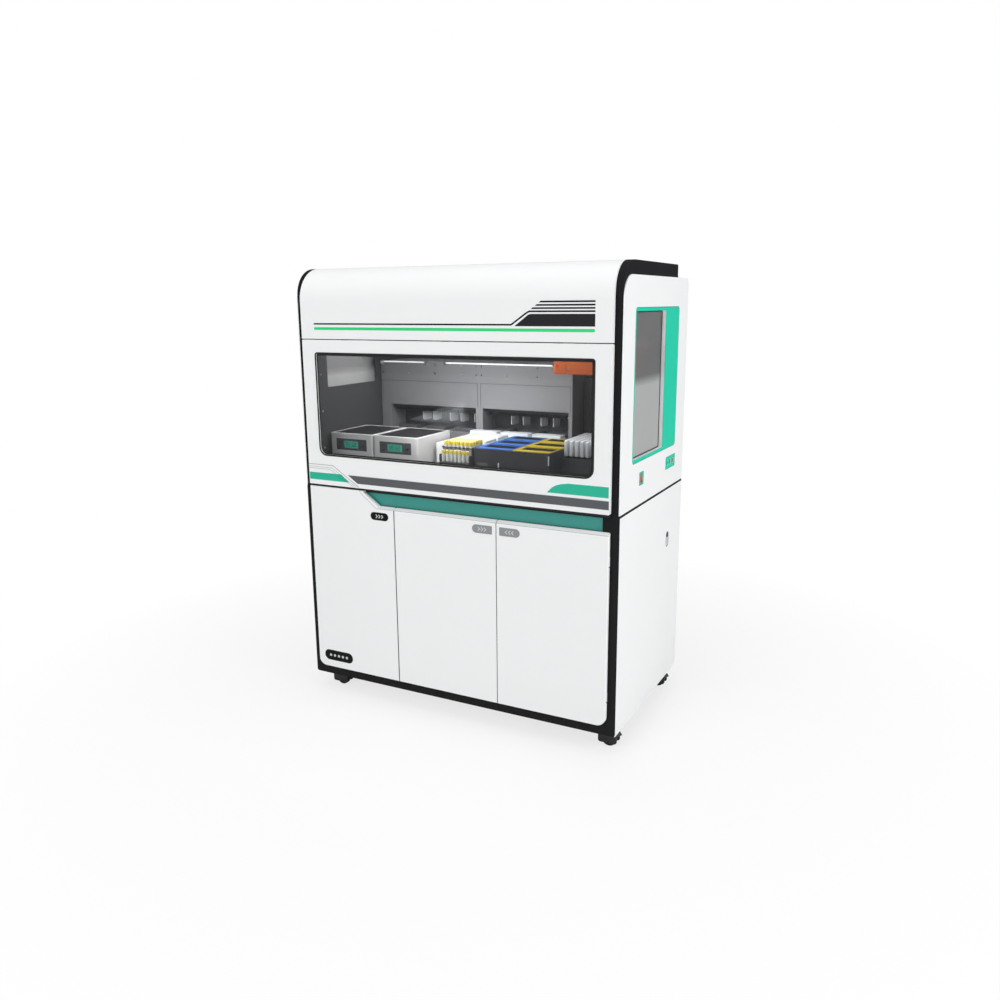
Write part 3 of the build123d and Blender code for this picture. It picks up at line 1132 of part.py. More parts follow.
def caster_wheel():
    """Wheel with a rounded tread and a hub bore, revolved about its axle at the origin."""
    half = WHEEL_W / 2
    tread = outline((AXLE_R + PIN_FIT, WHEEL_R), (-half, half), {(1, 0): TREAD_R, (1, 1): TREAD_R})
    dish = outline((AXLE_R * 2, WHEEL_R - 2 * TREAD_R), (half - SHEET, half + 1))
    dish += outline((AXLE_R * 2, WHEEL_R - 2 * TREAD_R), (-half - 1, SHEET - half))
    wheel = revolve(Plane.XY * (tread - dish), Axis.Y)
    return wheel


def build():
    """Build and write every sub-part."""
    os.makedirs("parts", exist_ok=True)
    write("base_frame", base_frame())
    write("base_floor_pan", base_floor_pan())
    write("base_side_panel_left", mirrored(base_side_panel()))
    write("base_side_panel_right", base_side_panel() - from_side(latch_outline(), FRAME_HALF, HALF_W))
    write("base_back_panel", base_back_panel())
    write("base_top_plate", base_top_plate())
    write("grip_recess_panel", grip_recess_panel())
    write("door_hinge_arms", *door_hinge_arms())
    half_seam = SEAM / 2
    write("base_door_left", base_door(-DOOR_HALF, PARTITION_X - half_seam, 0, outer=0, raised=True))
    write("base_door_middle", base_door(PARTITION_X + half_seam, PAIR_X - half_seam, 0))
    write("base_door_right", base_door(PAIR_X + half_seam, DOOR_HALF, 1, outer=1))
    write("power_supply_unit", power_supply_unit())
    write("controller_unit", controller_unit())
    write("waste_bin", waste_bin())
    write("side_frame_left", mirrored(side_frame()))
    write("side_frame_right", side_frame() - switch_seat() + rocker_pin())
    write("upper_side_panel_left", mirrored(window_panel()))
    write("upper_side_panel_right", upper_side_panel_right())
    write("side_bezels", *side_bezels())
    write("side_window_panes", *side_window_panes())
    write("header_panel", header_panel())
    write("roof_panel", roof_panel())
    write("upper_back_panel", upper_back_panel())
    write("liner_left", mirrored(side_liner(LEFT_LINER_LOW_Z)))
    write("liner_right", side_liner(SIDE_GLASS_Z[0]))
    write("liner_back", liner_back())
    write("deck_plate", deck_plate())
    write("hood_hinge_rail", hood_hinge_rail())
    write("hood_frame", hood_frame())
    write("hood_window", hood_window())
    write("station_left", station(0))
    write("station_right", station(1))
    write("station_brackets", *station_brackets())
    write("plate_stage", plate_stage())
    write("heater_housings", *heater_housings())
    write("heater_top_plates", *heater_top_plates())
    write("heater_displays", *heater_displays())
    write("tube_rack", tube_rack())
    write("capped_tubes", *capped_tubes())
    write("tip_rack_carrier", tip_rack_carrier())
    write("tip_racks_blue", *tip_racks(TIP_X[0]))
    write("tip_racks_yellow", *tip_racks(TIP_X[1]))
    write("strip_rack_tray", strip_rack_tray())
    write("strip_racks", *strip_racks())
    write("x_rail_beam", x_rail_beam())
    write("arm_carriage", arm_carriage())
    write("pipette_head", pipette_head())
    write("pipette_nozzles", *pipette_nozzles())
    write("switch_rocker", switch_rocker())
    write("side_latch_body", side_latch_body())
    write("side_latch_lever", side_latch_lever())
    write("caster_plates", *caster_plates())
    names = ("left_front", "left_back", "right_front", "right_back")
    for name, (x, y) in zip(names, caster_centres()):
        write(f"caster_fork_{name}", Pos(x, y, 0) * caster_fork())
        write(f"caster_wheel_{name}", Pos(x + TRAIL, y, WHEEL_R) * caster_wheel())


build()
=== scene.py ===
import json

import bmesh
import bpy
import numpy as np
from mathutils import Matrix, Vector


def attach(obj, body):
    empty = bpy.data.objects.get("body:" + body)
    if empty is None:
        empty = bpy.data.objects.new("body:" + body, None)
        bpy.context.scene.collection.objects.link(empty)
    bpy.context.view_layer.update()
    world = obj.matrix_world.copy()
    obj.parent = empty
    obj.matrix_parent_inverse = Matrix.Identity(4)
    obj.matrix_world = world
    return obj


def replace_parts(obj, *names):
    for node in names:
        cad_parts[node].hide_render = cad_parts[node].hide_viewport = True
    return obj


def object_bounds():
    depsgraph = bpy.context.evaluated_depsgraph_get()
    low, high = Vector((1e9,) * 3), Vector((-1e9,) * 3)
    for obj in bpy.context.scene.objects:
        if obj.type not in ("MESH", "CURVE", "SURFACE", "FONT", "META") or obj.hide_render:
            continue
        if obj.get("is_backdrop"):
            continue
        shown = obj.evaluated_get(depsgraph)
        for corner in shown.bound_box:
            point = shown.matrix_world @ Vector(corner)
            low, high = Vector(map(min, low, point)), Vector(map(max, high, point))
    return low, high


# Floor-standing nucleic acid extractor. Lengths are millimetres here and metres in the meshes.
# +Z is up, the door faces look towards -Y, and +X is to the right.

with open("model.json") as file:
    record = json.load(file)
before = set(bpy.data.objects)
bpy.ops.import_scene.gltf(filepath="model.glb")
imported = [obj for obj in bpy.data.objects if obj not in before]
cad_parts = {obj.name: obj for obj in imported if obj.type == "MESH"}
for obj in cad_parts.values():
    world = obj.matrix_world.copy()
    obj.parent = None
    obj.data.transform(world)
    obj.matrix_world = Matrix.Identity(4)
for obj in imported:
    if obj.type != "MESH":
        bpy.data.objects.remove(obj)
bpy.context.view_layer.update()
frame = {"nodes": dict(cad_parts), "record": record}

MM = 0.001
SHARP_FROM = 32.0         # edges that turn by more degrees than this stay sharp
HALF_W = 575.0
FRONT_Y = -326.0
BACK_Y = 326.0
FRAME_Y = -310.0

# plane: (direction of u, direction of v, outward normal)
PLANES = {
    "front": ((1, 0, 0), (0, 0, 1), (0, -1, 0)),
    "back": ((-1, 0, 0), (0, 0, 1), (0, 1, 0)),
    "right": ((0, 1, 0), (0, 0, 1), (1, 0, 0)),
    "left": ((0, -1, 0), (0, 0, 1), (-1, 0, 0)),
    "top": ((1, 0, 0), (0, 1, 0), (0, 0, 1)),
    "under": ((1, 0, 0), (0, -1, 0), (0, 0, -1)),
}


# ---------------------------------------------------------------- curves and surfaces
def arc(centre, radius, start, end, steps):
    """Points centre + radius * (cos t, sin t), t running evenly from start to end in degrees."""
    t = np.radians(np.linspace(start, end, steps))
    return np.array(centre) + radius * np.stack([np.cos(t), np.sin(t)], -1)


def rounded(u, v, radii, steps=7):
    """Rectangle over spans u and v, each corner a quarter circle; radii from the low-low corner round."""
    radii = np.broadcast_to(np.array(radii, float), 4)
    corners = ((u[0], v[0], 1, 1, 180), (u[1], v[0], -1, 1, 270),
               (u[1], v[1], -1, -1, 0), (u[0], v[1], 1, -1, 90))
    turns = [arc((x + i * r, y + j * r), r, start, start + 90, steps)
             for (x, y, i, j, start), r in zip(corners, radii)]
    return np.concatenate(turns)


def inset(loop, distance):
    """Each point moves in along the mean of its edge normals, by distance / cos(half the turn)."""
    before = loop - np.roll(loop, 1, 0)
    after = np.roll(loop, -1, 0) - loop
    normals = [np.stack([-e[:, 1], e[:, 0]], -1) / np.maximum(np.linalg.norm(e, axis=1, keepdims=True), 1e-9)
               for e in (before, after)]
    scale = 1 + np.sum(normals[0] * normals[1], 1, keepdims=True)
    return loop + distance * (normals[0] + normals[1]) / np.maximum(scale, 0.3)


def onto(plane, level, u, v, w=0.0):
    """Points level + w out along the plane's normal, and u and v along its two directions."""
    basis = np.array(PLANES[plane], float)
    u, v, w = np.broadcast_arrays(np.asarray(u, float), np.asarray(v, float), np.asarray(w, float) + level)
    return np.stack([u, v, w], -1) @ basis


def skin(rings, looped=False):
    """Quads between neighbouring rings of points, and a flat face over each end unless the rings loop."""
    count, around = rings.shape[:2]
    index = np.arange(count * around).reshape(count, around)
    upper = np.roll(index, -1, 0) if looped else index[1:]
    lower = index if looped else index[:-1]
    faces = np.stack([lower, np.roll(lower, -1, 1), np.roll(upper, -1, 1), upper], -1).reshape(-1, 4).tolist()
    if not looped:
        faces += [index[0][::-1].tolist(), index[-1].tolist()]
    return rings.reshape(-1, 3), faces


def slab(plane, level, loop, height, edge=0.4, steps=3):
    """Plate on a plane: the outline rises to height - edge, then for t from 0 to 90 degrees it shrinks by
    edge * (1 - cos t) and rises by edge * sin t."""
    t = np.radians(np.linspace(0, 90, steps))
    ins = np.concatenate([[0.0], edge * (1 - np.cos(t))])
    ups = np.concatenate([[0.0], height - edge * (1 - np.sin(t))])
    rings = [onto(plane, level, *inset(loop, i).T, w) for i, w in zip(ins, ups)]
    return skin(np.array(rings))


def turned(plane, level, centre, profile, around=24):
    """Profile of (radius, height) pairs carried round the plane's normal through centre."""
    t = np.linspace(0, 2 * np.pi, around, endpoint=False)
    profile = np.array(profile, float)
    r, w = profile[:, :1], profile[:, 1:]
    return skin(onto(plane, level, centre[0] + r * np.cos(t), centre[1] + r * np.sin(t), w))


def swept(path, section, up, closed=False):
    """Section of (side, up) pairs carried along a path; side is path direction x up, both of unit length."""
    path, section, up = np.array(path, float), np.array(section, float), np.array(up, float)
    if closed:
        along = np.roll(path, -1, 0) - np.roll(path, 1, 0)
    else:
        along = np.gradient(path, axis=0)
    along /= np.linalg.norm(along, axis=1, keepdims=True)
    side = np.cross(along, up)
    side /= np.linalg.norm(side, axis=1, keepdims=True)
    over = np.cross(side, along)
    rings = path[:, None] + section[None, :, :1] * side[:, None] + section[None, :, 1:] * over[:, None]
    return skin(rings, closed)


def copies(shape, places):
    """The same shape moved to each of an array of places."""
    points, faces = shape
    places = np.array(places, float).reshape(-1, 3)
    moved = (points[None] + places[:, None]).reshape(-1, 3)
    step = len(points)
    return moved, [[i + step * k for i in face] for k in range(len(places)) for face in faces]


def joined(*shapes):
    """Several shapes as one."""
    points, faces, start = [], [], 0
    for p, f in shapes:
        points.append(p)
        faces += [[i + start for i in face] for face in f]
        start += len(p)
    return np.concatenate(points), faces


def piece(name, shape, body, material):
    """A mesh object from points in millimetres, all faces turned outwards, riding on a body."""
    points, faces = shape
    mesh = bpy.data.meshes.new(name)
    mesh.from_pydata((points * MM).tolist(), [], faces)
    work = bmesh.new()
    work.from_mesh(mesh)
    bmesh.ops.recalc_face_normals(work, faces=work.faces)
    work.to_mesh(mesh)
    work.free()
    mesh.shade_smooth()
    mesh.set_sharp_from_angle(angle=np.radians(SHARP_FROM))
    mesh.materials.append(material)
    made = bpy.data.objects.new(name, mesh)
    bpy.context.scene.collection.objects.link(made)
    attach(made, body)
    return made


# ---------------------------------------------------------------- materials
def linear(code):
    """sRGB hex to linear red, green, blue and alpha."""
    s = np.array([int(code[i:i + 2], 16) for i in (0, 2, 4)]) / 255
    return (*np.where(s <= 0.04045, s / 12.92, ((s + 0.055) / 1.055) ** 2.4), 1.0)


def add(tree, kind, settings=None, **inputs):
    """One node with its settings; an input that is a socket is linked, and any other is its value."""
    made = tree.nodes.new(kind)
    for key, value in (settings or {}).items():
        setattr(made, key, value)
    for key, value in inputs.items():
        numbered = key[0] == "i" and key[1:].isdigit()
        socket = made.inputs[int(key[1:]) if numbered else key.replace("_", " ")]
        if isinstance(value, bpy.types.NodeSocket):
            tree.links.new(value, socket)
        else:
            socket.default_value = value
    return made


def blank(name):
    """A new material with its tree and its Principled shader."""
    made = bpy.data.materials.new(name)
    made.use_nodes = True
    return made, made.node_tree, made.node_tree.nodes["Principled BSDF"]


def grains(size):
    """Scale of a noise whose features are about this many millimetres across."""
    return 1 / (size * MM)


def finish(name, colour, rough, grain, depth, drift=0.04, smudge=90.0, edge_wear_and_highlight=None, edge_line_width=1.5,
           metallic=0.0, ior=None, coat=0.0, stretch=(1, 1, 1), spread=0.12, alpha=None):
    """A finished surface: slow drift of the colour over hand-sized patches, a gloss that varies with it,
    a fine relief of the given grain and depth in millimetres, and a lighter line along the edges that
    is partly wear and partly a painted highlight where edges catch light."""
    made, tree, shader = blank(name)
    place = add(tree, "ShaderNodeTexCoord").outputs["Object"]
    slow = add(tree, "ShaderNodeTexNoise", Vector=place, Scale=grains(smudge), Detail=3.0, Roughness=0.55)
    base = add(tree, "ShaderNodeHueSaturation", Color=linear(colour))
    value = add(tree, "ShaderNodeMapRange", Value=slow.outputs["Fac"], To_Min=1 - drift,
                To_Max=1 + drift * 0.4)
    tree.links.new(value.outputs["Result"], base.inputs["Value"])
    tint = base.outputs["Color"]
    # Lighter line along the edges: partly wear, partly a painted highlight where edges catch light.
    if edge_wear_and_highlight:
        bevel = add(tree, "ShaderNodeBevel", {"samples": 4}, Radius=edge_line_width * MM)
        flat = add(tree, "ShaderNodeNewGeometry").outputs["Normal"]
        dot = add(tree, "ShaderNodeVectorMath", {"operation": "DOT_PRODUCT"}, i0=bevel.outputs["Normal"],
                  i1=flat)
        wear_and_highlight_edges = add(tree, "ShaderNodeMapRange", Value=dot.outputs["Value"], From_Min=0.99, From_Max=0.86)
        patchy = add(tree, "ShaderNodeMath", {"operation": "MULTIPLY"}, i0=wear_and_highlight_edges.outputs["Result"],
                     i1=slow.outputs["Fac"])
        mixed = add(tree, "ShaderNodeMix", {"data_type": "RGBA"}, Factor=patchy.outputs["Value"], i6=tint,
                    i7=linear(edge_wear_and_highlight))
        tint = mixed.outputs[2]
    tree.links.new(tint, shader.inputs["Base Color"])
    place = add(tree, "ShaderNodeMapping", Vector=place, Scale=stretch).outputs["Vector"]
    fine = add(tree, "ShaderNodeTexNoise", Vector=place, Scale=grains(grain), Detail=2.0)
    gloss = add(tree, "ShaderNodeMapRange", Value=slow.outputs["Fac"], To_Min=rough * (1 - spread),
                To_Max=rough * (1 + spread))
    tree.links.new(gloss.outputs["Result"], shader.inputs["Roughness"])
    bump = add(tree, "ShaderNodeBump", Height=fine.outputs["Fac"], Strength=1.0, Distance=depth * MM)
    tree.links.new(bump.outputs["Normal"], shader.inputs["Normal"])
    shader.inputs["Metallic"].default_value = metallic
    shader.inputs["Coat Weight"].default_value = coat
    if ior:
        shader.inputs["IOR"].default_value = ior
    if alpha is not None:
        shader.inputs["Alpha"].default_value = alpha
    return made


# Polyester powder coat, baked on folded steel: even colour under a faint orange peel, its edges painted
# whiter as a highlight.
WHITE_COAT = finish("white_powder_coat", "F6F7F7", 0.5, 2.6, 0.018, drift=0.012, edge_wear_and_highlight="FFFFFF", ior=1.25)
# Fine-texture powder coat: matt charcoal whose edges are a little lighter, from wear and a painted highlight.
BLACK_COAT = finish("black_texture_powder_coat", "222223", 0.6, 1.4, 0.06, drift=0.06, edge_wear_and_highlight="3E3E40",
                    ior=1.15)
# Sprayed on castings, over their faint sand grain: the same charcoal, a shade deeper.
CHEEK_COAT = finish("charcoal_paint_on_cast_aluminium", "1E1E20", 0.6, 1.6, 0.07, drift=0.06,
                    edge_wear_and_highlight="4A4A4C", ior=1.15)
# Powder coat inside the chamber: dark grey with a low, soft gloss.
LINER_COAT = finish("anthracite_powder_coat", "4A4A4B", 0.55, 1.4, 0.05, drift=0.06, edge_wear_and_highlight="707072")
# Wet lacquer on aluminium sheet, smoother than powder.
TEAL_LACQUER = finish("teal_lacquer", "2F968C", 0.32, 3.2, 0.01, drift=0.03, coat=0.2)
# Cast acrylic, coloured on its back: deep colour under a clear glossy face.
GREEN_ACRYLIC = finish("green_back_painted_acrylic", "04D2AE", 0.2, 5.0, 0.004, drift=0.015, ior=1.15)
# Stoved enamel on sheet: neutral grey with a low, even gloss.
STATION_PAINT = finish("grey_baked_enamel", "8C8D8F", 0.42, 2.2, 0.02, drift=0.03, edge_wear_and_highlight="B4B5B7")
# Hot-dip galvanised sheet: blotchy spangle and a dull metallic gloss.
ZINC = finish("galvanised_sheet", "A4A8AA", 0.4, 6.0, 0.01, drift=0.16, smudge=14.0, metallic=0.9,
              spread=0.3)
# Cold-rolled stainless, brushed along its length: fine lines that smear highlights.
STAINLESS = finish("brushed_stainless", "C9CACC", 0.3, 1.2, 0.012, drift=0.05, metallic=1.0,
                   stretch=(1, 1, 14))
# Extruded and anodised: faint die lines along the beam in a pale satin.
ALUMINIUM = finish("anodised_aluminium_extrusion", "B9BCC0", 0.36, 1.0, 0.01, drift=0.04, metallic=0.9,
                   stretch=(0.08, 1, 1))
# Milled acetal: slightly waxy white.
STAGE_WHITE = finish("white_acetal_plate", "E9EBEC", 0.36, 1.8, 0.01, drift=0.02)
# Moulded ABS with a spark-eroded skin: soft broken gloss, with a paler line along its rims that is a painted
# highlight.
HEATER_ABS = finish("grey_moulded_abs", "D8D8D8", 0.46, 1.3, 0.03, drift=0.02, edge_wear_and_highlight="F0F0F0",
                    edge_line_width=2.2)
# Hard anodising on machined aluminium: near black, slightly metallic, with rims lighter from wear and a
# painted highlight.
HARD_ANODISE = finish("black_hard_anodised_plate", "2A2A2B", 0.4, 1.0, 0.015, drift=0.08, metallic=0.3,
                      edge_wear_and_highlight="4C4C4E")
# Printed polycarbonate overlay: dark, under a thin glossy skin.
DISPLAY_PANEL = finish("dark_polycarbonate_overlay", "4B4A50", 0.3, 1.2, 0.012, drift=0.03, coat=0.3)
# Cut and bonded acrylic: flat faces with a clear gloss.
RACK_ACRYLIC = finish("dark_acrylic_rack", "45474A", 0.25, 4.0, 0.004, drift=0.03, coat=0.3)
# Moulded polypropylene: a soft gloss that is never quite even.
YELLOW_PP = finish("yellow_polypropylene", "D9C83C", 0.42, 0.9, 0.012, drift=0.05)
BLUE_PP = finish("blue_polypropylene", "3A6DC0", 0.38, 1.0, 0.012, drift=0.04)
AMBER_PP = finish("amber_polypropylene", "C8B020", 0.38, 1.0, 0.012, drift=0.04)
STRIP_PP = finish("natural_polypropylene", "EEF2F5", 0.4, 1.2, 0.012, drift=0.04)
# Milled block, anodised dark: edges paler, from worn metal and a painted highlight.
CARRIER_DARK = finish("grey_anodised_block", "434346", 0.42, 1.1, 0.012, drift=0.05, metallic=0.25,
                      edge_wear_and_highlight="77777A")
# Sprayed enamel on moulded covers: warm, with paler edges from rubbing and a painted highlight.
ORANGE_PAINT = finish("orange_enamel", "B45A2E", 0.36, 2.4, 0.012, drift=0.04, edge_wear_and_highlight="E2986C")
# Carbon-filled so that it conducts: satin black.
NOZZLE_BLACK = finish("carbon_filled_polypropylene", "232325", 0.45, 0.8, 0.01)
# Rotationally moulded bin: faintly pebbled.
BIN_GREY = finish("grey_polyethylene", "7B7F82", 0.5, 1.6, 0.03, drift=0.04)
# Hammer enamel on instrument boxes: dimples of a few millimetres.
UNIT_GREY = finish("grey_hammer_enamel", "6D7174", 0.4, 2.4, 0.09, drift=0.08, edge_wear_and_highlight="94989B")
# Glass-filled nylon: dark, with paler edges from scuffs and a painted highlight.
CASTER_NYLON = finish("black_glass_filled_nylon", "1E1E1F", 0.48, 0.9, 0.03, drift=0.08, edge_wear_and_highlight="4A4A4A")
# Cast tread: matt and dusty.
TYRE_RUBBER = finish("black_polyurethane_tread", "262627", 0.7, 1.2, 0.05, drift=0.12)
# Translucent rocker: deep red under a clear skin.
ROCKER_RED = finish("red_translucent_polycarbonate", "C4383C", 0.22, 1.4, 0.006, coat=0.4)
# Die casting, stoved black: smooth, with greyer edges from hands rubbing it and a painted highlight.
LATCH_BLACK = finish("black_zinc_die_casting", "1C1C1D", 0.34, 1.6, 0.02, edge_wear_and_highlight="565658")
# Moulded acetal lever: pale and a little waxy.
LEVER_GREY = finish("light_grey_acetal", "D5D7D8", 0.34, 1.2, 0.012, edge_wear_and_highlight="F2F2F2")
# Smoked cast acrylic: light passes straight through it, dimmed, and its face mirrors the room faintly.
SMOKED_PANE = finish("smoked_acrylic_pane", "3C3E40", 0.08, 60.0, 0.02, drift=0.02, ior=1.49, alpha=0.2,
                     spread=0.3)


def frosted_pane():
    """Acrylic pane, frosted below a soft line 1135 mm up: colour and cover both rise there."""
    made = finish("half_frosted_acrylic_pane", "BDBDBE", 0.3, 40.0, 0.01, drift=0.03, ior=1.3, spread=0.2)
    tree, shader = made.node_tree, made.node_tree.nodes["Principled BSDF"]
    place = add(tree, "ShaderNodeTexCoord").outputs["Object"]
    up = add(tree, "ShaderNodeSeparateXYZ", Vector=place).outputs["Z"]
    low = add(tree, "ShaderNodeMapRange", Value=up, From_Min=1.15, From_Max=1.12)
    tint = add(tree, "ShaderNodeMix", {"data_type": "RGBA"}, Factor=low.outputs["Result"],
               i6=linear("7E7E7F"), i7=linear("B9BABA"))
    cover = add(tree, "ShaderNodeMapRange", Value=low.outputs["Result"], To_Min=0.6, To_Max=0.86)
    tree.links.new(tint.outputs[2], shader.inputs["Base Color"])
    tree.links.new(cover.outputs["Result"], shader.inputs["Alpha"])
    return made


SIDE_PANE = frosted_pane()

FINISHES = {
    "frame_black": BLACK_COAT, "panel_white": WHITE_COAT, "cheek_grey": CHEEK_COAT, "liner_dark": LINER_COAT,
    "teal": TEAL_LACQUER, "bezel_green": GREEN_ACRYLIC, "station_grey": STATION_PAINT, "zinc_sheet": ZINC,
    "steel": STAINLESS, "aluminium": ALUMINIUM, "stage_white": STAGE_WHITE, "heater_grey": HEATER_ABS,
    "plate_black": HARD_ANODISE, "display_dark": DISPLAY_PANEL, "rack_clear": RACK_ACRYLIC,
    "tube_yellow": YELLOW_PP, "carrier_dark": CARRIER_DARK, "rack_blue": BLUE_PP, "rack_yellow": AMBER_PP,
    "strip_white": STRIP_PP, "arm_orange": ORANGE_PAINT, "nozzle_dark": NOZZLE_BLACK,
    "window_glass": SMOKED_PANE, "bin_grey": BIN_GREY, "unit_grey": UNIT_GREY, "caster_black": CASTER_NYLON,
    "wheel_rubber": TYRE_RUBBER, "rocker_red": ROCKER_RED, "latch_black": LATCH_BLACK,
    "lever_grey": LEVER_GREY,
}
# Zinc flash on folded steel: its silver shine painted in as a near white colour, with a soft gloss, and white
# edges from wear and a painted highlight.
ZINC_WITH_PAINTED_SHINE = finish("zinc_plated_steel_painted_shine", "F2F3F4", 0.34, 1.0, 0.012, drift=0.04, edge_wear_and_highlight="FFFFFF")
SPECIAL = {"station_brackets": ZINC_WITH_PAINTED_SHINE, "side_window_panes": SIDE_PANE, "door_hinge_arms": WHITE_COAT}

for row in frame["record"]["subparts"]:
    shown = frame["nodes"][row["node"]]
    shown.data.materials.clear()
    shown.data.materials.append(SPECIAL.get(row["node"]) or FINISHES[row["material_slot"]])

# ---------------------------------------------------------------- inks and small materials
# Screen print on powder coat: thin and matt, and glossier where it is bright green.
BLACK_INK = finish("black_screen_print", "161617", 0.6, 0.8, 0.006, drift=0.05, ior=1.2)
DARK_INK = finish("dark_grey_screen_print", "29292B", 0.6, 0.8, 0.006, drift=0.05, ior=1.2)
BRIGHT_GREEN_INK = finish("bright_green_screen_print", "1BD97F", 0.34, 0.8, 0.006, drift=0.03)
# Cast vinyl film: flat colour under a clear gloss.
GREEN_VINYL = finish("green_vinyl_film", "00B795", 0.3, 2.0, 0.006, drift=0.03, coat=0.2)
# Soft-touch vinyl: matt, with only a broad, faint highlight.
GRIP_VINYL = finish("grey_soft_touch_vinyl", "55585B", 0.6, 0.9, 0.04, drift=0.05)
# Moulded label and the pale print on it.
PILL_GREY = finish("mid_grey_moulded_label", "8E9194", 0.42, 1.0, 0.01, drift=0.04)
PILL_MARK = finish("pale_grey_pad_print", "C9CBCC", 0.45, 0.8, 0.006)
# Pale grey line: printed pin stripes on the hood, and painted shade along the door creases.
PIN_STRIPE_AND_FOLD_SHADE = finish("pale_grey_pin_stripe_and_fold_shade", "9A9C9E", 0.5, 0.8, 0.004)
WHITE_PRINT = finish("white_pad_print", "EDEFF0", 0.45, 0.8, 0.004)
# Extruded rubber: dusty black. The paler, smoother grey is a seal whose colour also paints the shade in the
# seams between covers.
EPDM = finish("black_epdm_rubber", "141415", 0.75, 1.0, 0.03, drift=0.12)
SEAL_AND_SEAM_SHADE = finish("grey_seal_and_seam_shade", "6E7072", 0.7, 1.0, 0.02, drift=0.08)
# Zinc-plated heads: small bright glints.
SCREW_STEEL = finish("zinc_plated_screw", "C4C6C8", 0.28, 0.7, 0.01, drift=0.08, metallic=1.0)


def glowing(name, colour, strength):
    """A glowing surface, as a diffuser lit from behind: even light with slow bright and dim patches, under a
    satin face. On the bars along the stations' top front edge the glow is a painted highlight.
    """
    made, tree, shader = blank(name)
    place = add(tree, "ShaderNodeTexCoord").outputs["Object"]
    cloud = add(tree, "ShaderNodeTexNoise", Vector=place, Scale=grains(24.0), Detail=1.0)
    shade = add(tree, "ShaderNodeMapRange", Value=cloud.outputs["Fac"], To_Min=0.9, To_Max=1.08)
    tint = add(tree, "ShaderNodeHueSaturation", Color=linear(colour), Value=shade.outputs["Result"])
    for socket in ("Base Color", "Emission Color"):
        tree.links.new(tint.outputs["Color"], shader.inputs[socket])
    shader.inputs["Emission Strength"].default_value = strength
    shader.inputs["Roughness"].default_value = 0.35
    return made


# Glow on the bars along the stations' top front edge: a painted highlight of that edge.
EDGE_HIGHLIGHT_GLOW = glowing("white_glow_for_edge_highlight", "F4F6F6", 0.9)
LCD_GLASS = glowing("backlit_green_display", "2F8F7A", 0.55)
LCD_DIGIT = finish("dark_display_segments", "174A40", 0.4, 1.0, 0.002)


# ---------------------------------------------------------------- printed stripes and labels
def stroke(points, width):
    """Outline of a polyline of the given width: each point is moved both ways along its mitre."""
    p = np.array(points, float)
    edges = np.diff(p, axis=0)
    edges /= np.linalg.norm(edges, axis=1, keepdims=True)
    normals = np.stack([-edges[:, 1], edges[:, 0]], -1)
    first, last = np.vstack([normals[:1], normals]), np.vstack([normals, normals[-1:]])
    mitre = (first + last) / (1 + np.sum(first * last, 1, keepdims=True))
    return np.concatenate([p - mitre * width / 2, (p + mitre * width / 2)[::-1]])


def film(name, plane, level, loops, body, material, height=0.35, edge=0.12):
    """Thin printed or stuck-on film over one or more outlines."""
    sheets = [slab(plane, level, np.array(loop, float), height, edge, 2) for loop in loops]
    return piece(name, joined(*sheets), body, material)


DOOR_FACE = -FRONT_Y
PRINT_HALF = 496.0
KNEE_LOW, KNEE_HIGH = 233.0, 289.0
LINE_LOW, LINE_HIGH = 1305.5, 1343.8
stripes = [[(x, z - 2.4), (PRINT_HALF, z - 2.4), (PRINT_HALF, z + 2.4), (x + 6, z + 2.4)]
           for x, z in ((322, 1371.0), (310, 1361.6), (297, 1352.7))]
knee = stroke([(-PRINT_HALF, LINE_LOW), (KNEE_LOW, LINE_LOW), (KNEE_HIGH - 4, LINE_HIGH - 3),
               (KNEE_HIGH + 4, LINE_HIGH), (PRINT_HALF, LINE_HIGH)], 4.8)
film("header_stripes", "front", DOOR_FACE, [*stripes, knee], "cabinet", BLACK_INK)
block = [(244, 1301.5), (PRINT_HALF, 1301.5), (PRINT_HALF, 1336.5), (296, 1336.5), (288, 1334.0)]
film("header_name_block", "front", DOOR_FACE, [block], "cabinet", DARK_INK)
stripe = rounded((-PRINT_HALF, PRINT_HALF), (1286.0, 1295.0), 4.4, 5)
film("header_green_stripe", "front", DOOR_FACE, [stripe], "cabinet", BRIGHT_GREEN_INK)

grip = [(-346, 780), (547, 780), (547, 806), (-384, 806)]
film("hood_grip_strip", "front", DOOR_FACE, [grip], "hood", GRIP_VINYL, 0.8, 0.3)
curve = np.array([(350, 815), (366, 831), (380, 839), (396, 844), (420, 847.5)], float)
wing = np.concatenate([[(546, 815), (546, 847.5)], curve[::-1]])
film("hood_green_wing", "front", DOOR_FACE, [wing], "hood", GREEN_VINYL)
tag = [(-547, 781.0), (-381, 781.0), (-413, 806.5), (-547, 805.5)]
film("hood_green_tag", "front", DOOR_FACE, [tag], "hood", GREEN_VINYL)
pins = [stroke([(-547, z), (-446 + k, z), (-341 + 2 * k, 767.5)], w)
        for k, z, w in ((0, 834.0, 1.8), (-6, 826.0, 1.1), (-12, 820.0, 1.1))]
film("hood_pin_stripes", "front", DOOR_FACE, pins, "hood", PIN_STRIPE_AND_FOLD_SHADE)


def pill(x, z, ends=(1, 1)):
    """Label outline 71 by 27 mm about a centre, each end round or square."""
    r = [13.4 if end else 1.5 for end in (ends[0], ends[1], ends[1], ends[0])]
    return rounded((x - 35.5, x + 35.5), (z - 13.5, z + 13.5), r)


def chevrons(x, z, turn, count=3, size=6.0):
    """Row of arrowheads about a centre, pointing right for turn 1 and left for -1."""
    return [stroke([(x + turn * (i * 11 - size / 2), z - size), (x + turn * (i * 11 + size / 2), z),
                    (x + turn * (i * 11 - size / 2), z + size)], 3.2)
            for i in np.arange(count) - (count - 1) / 2]


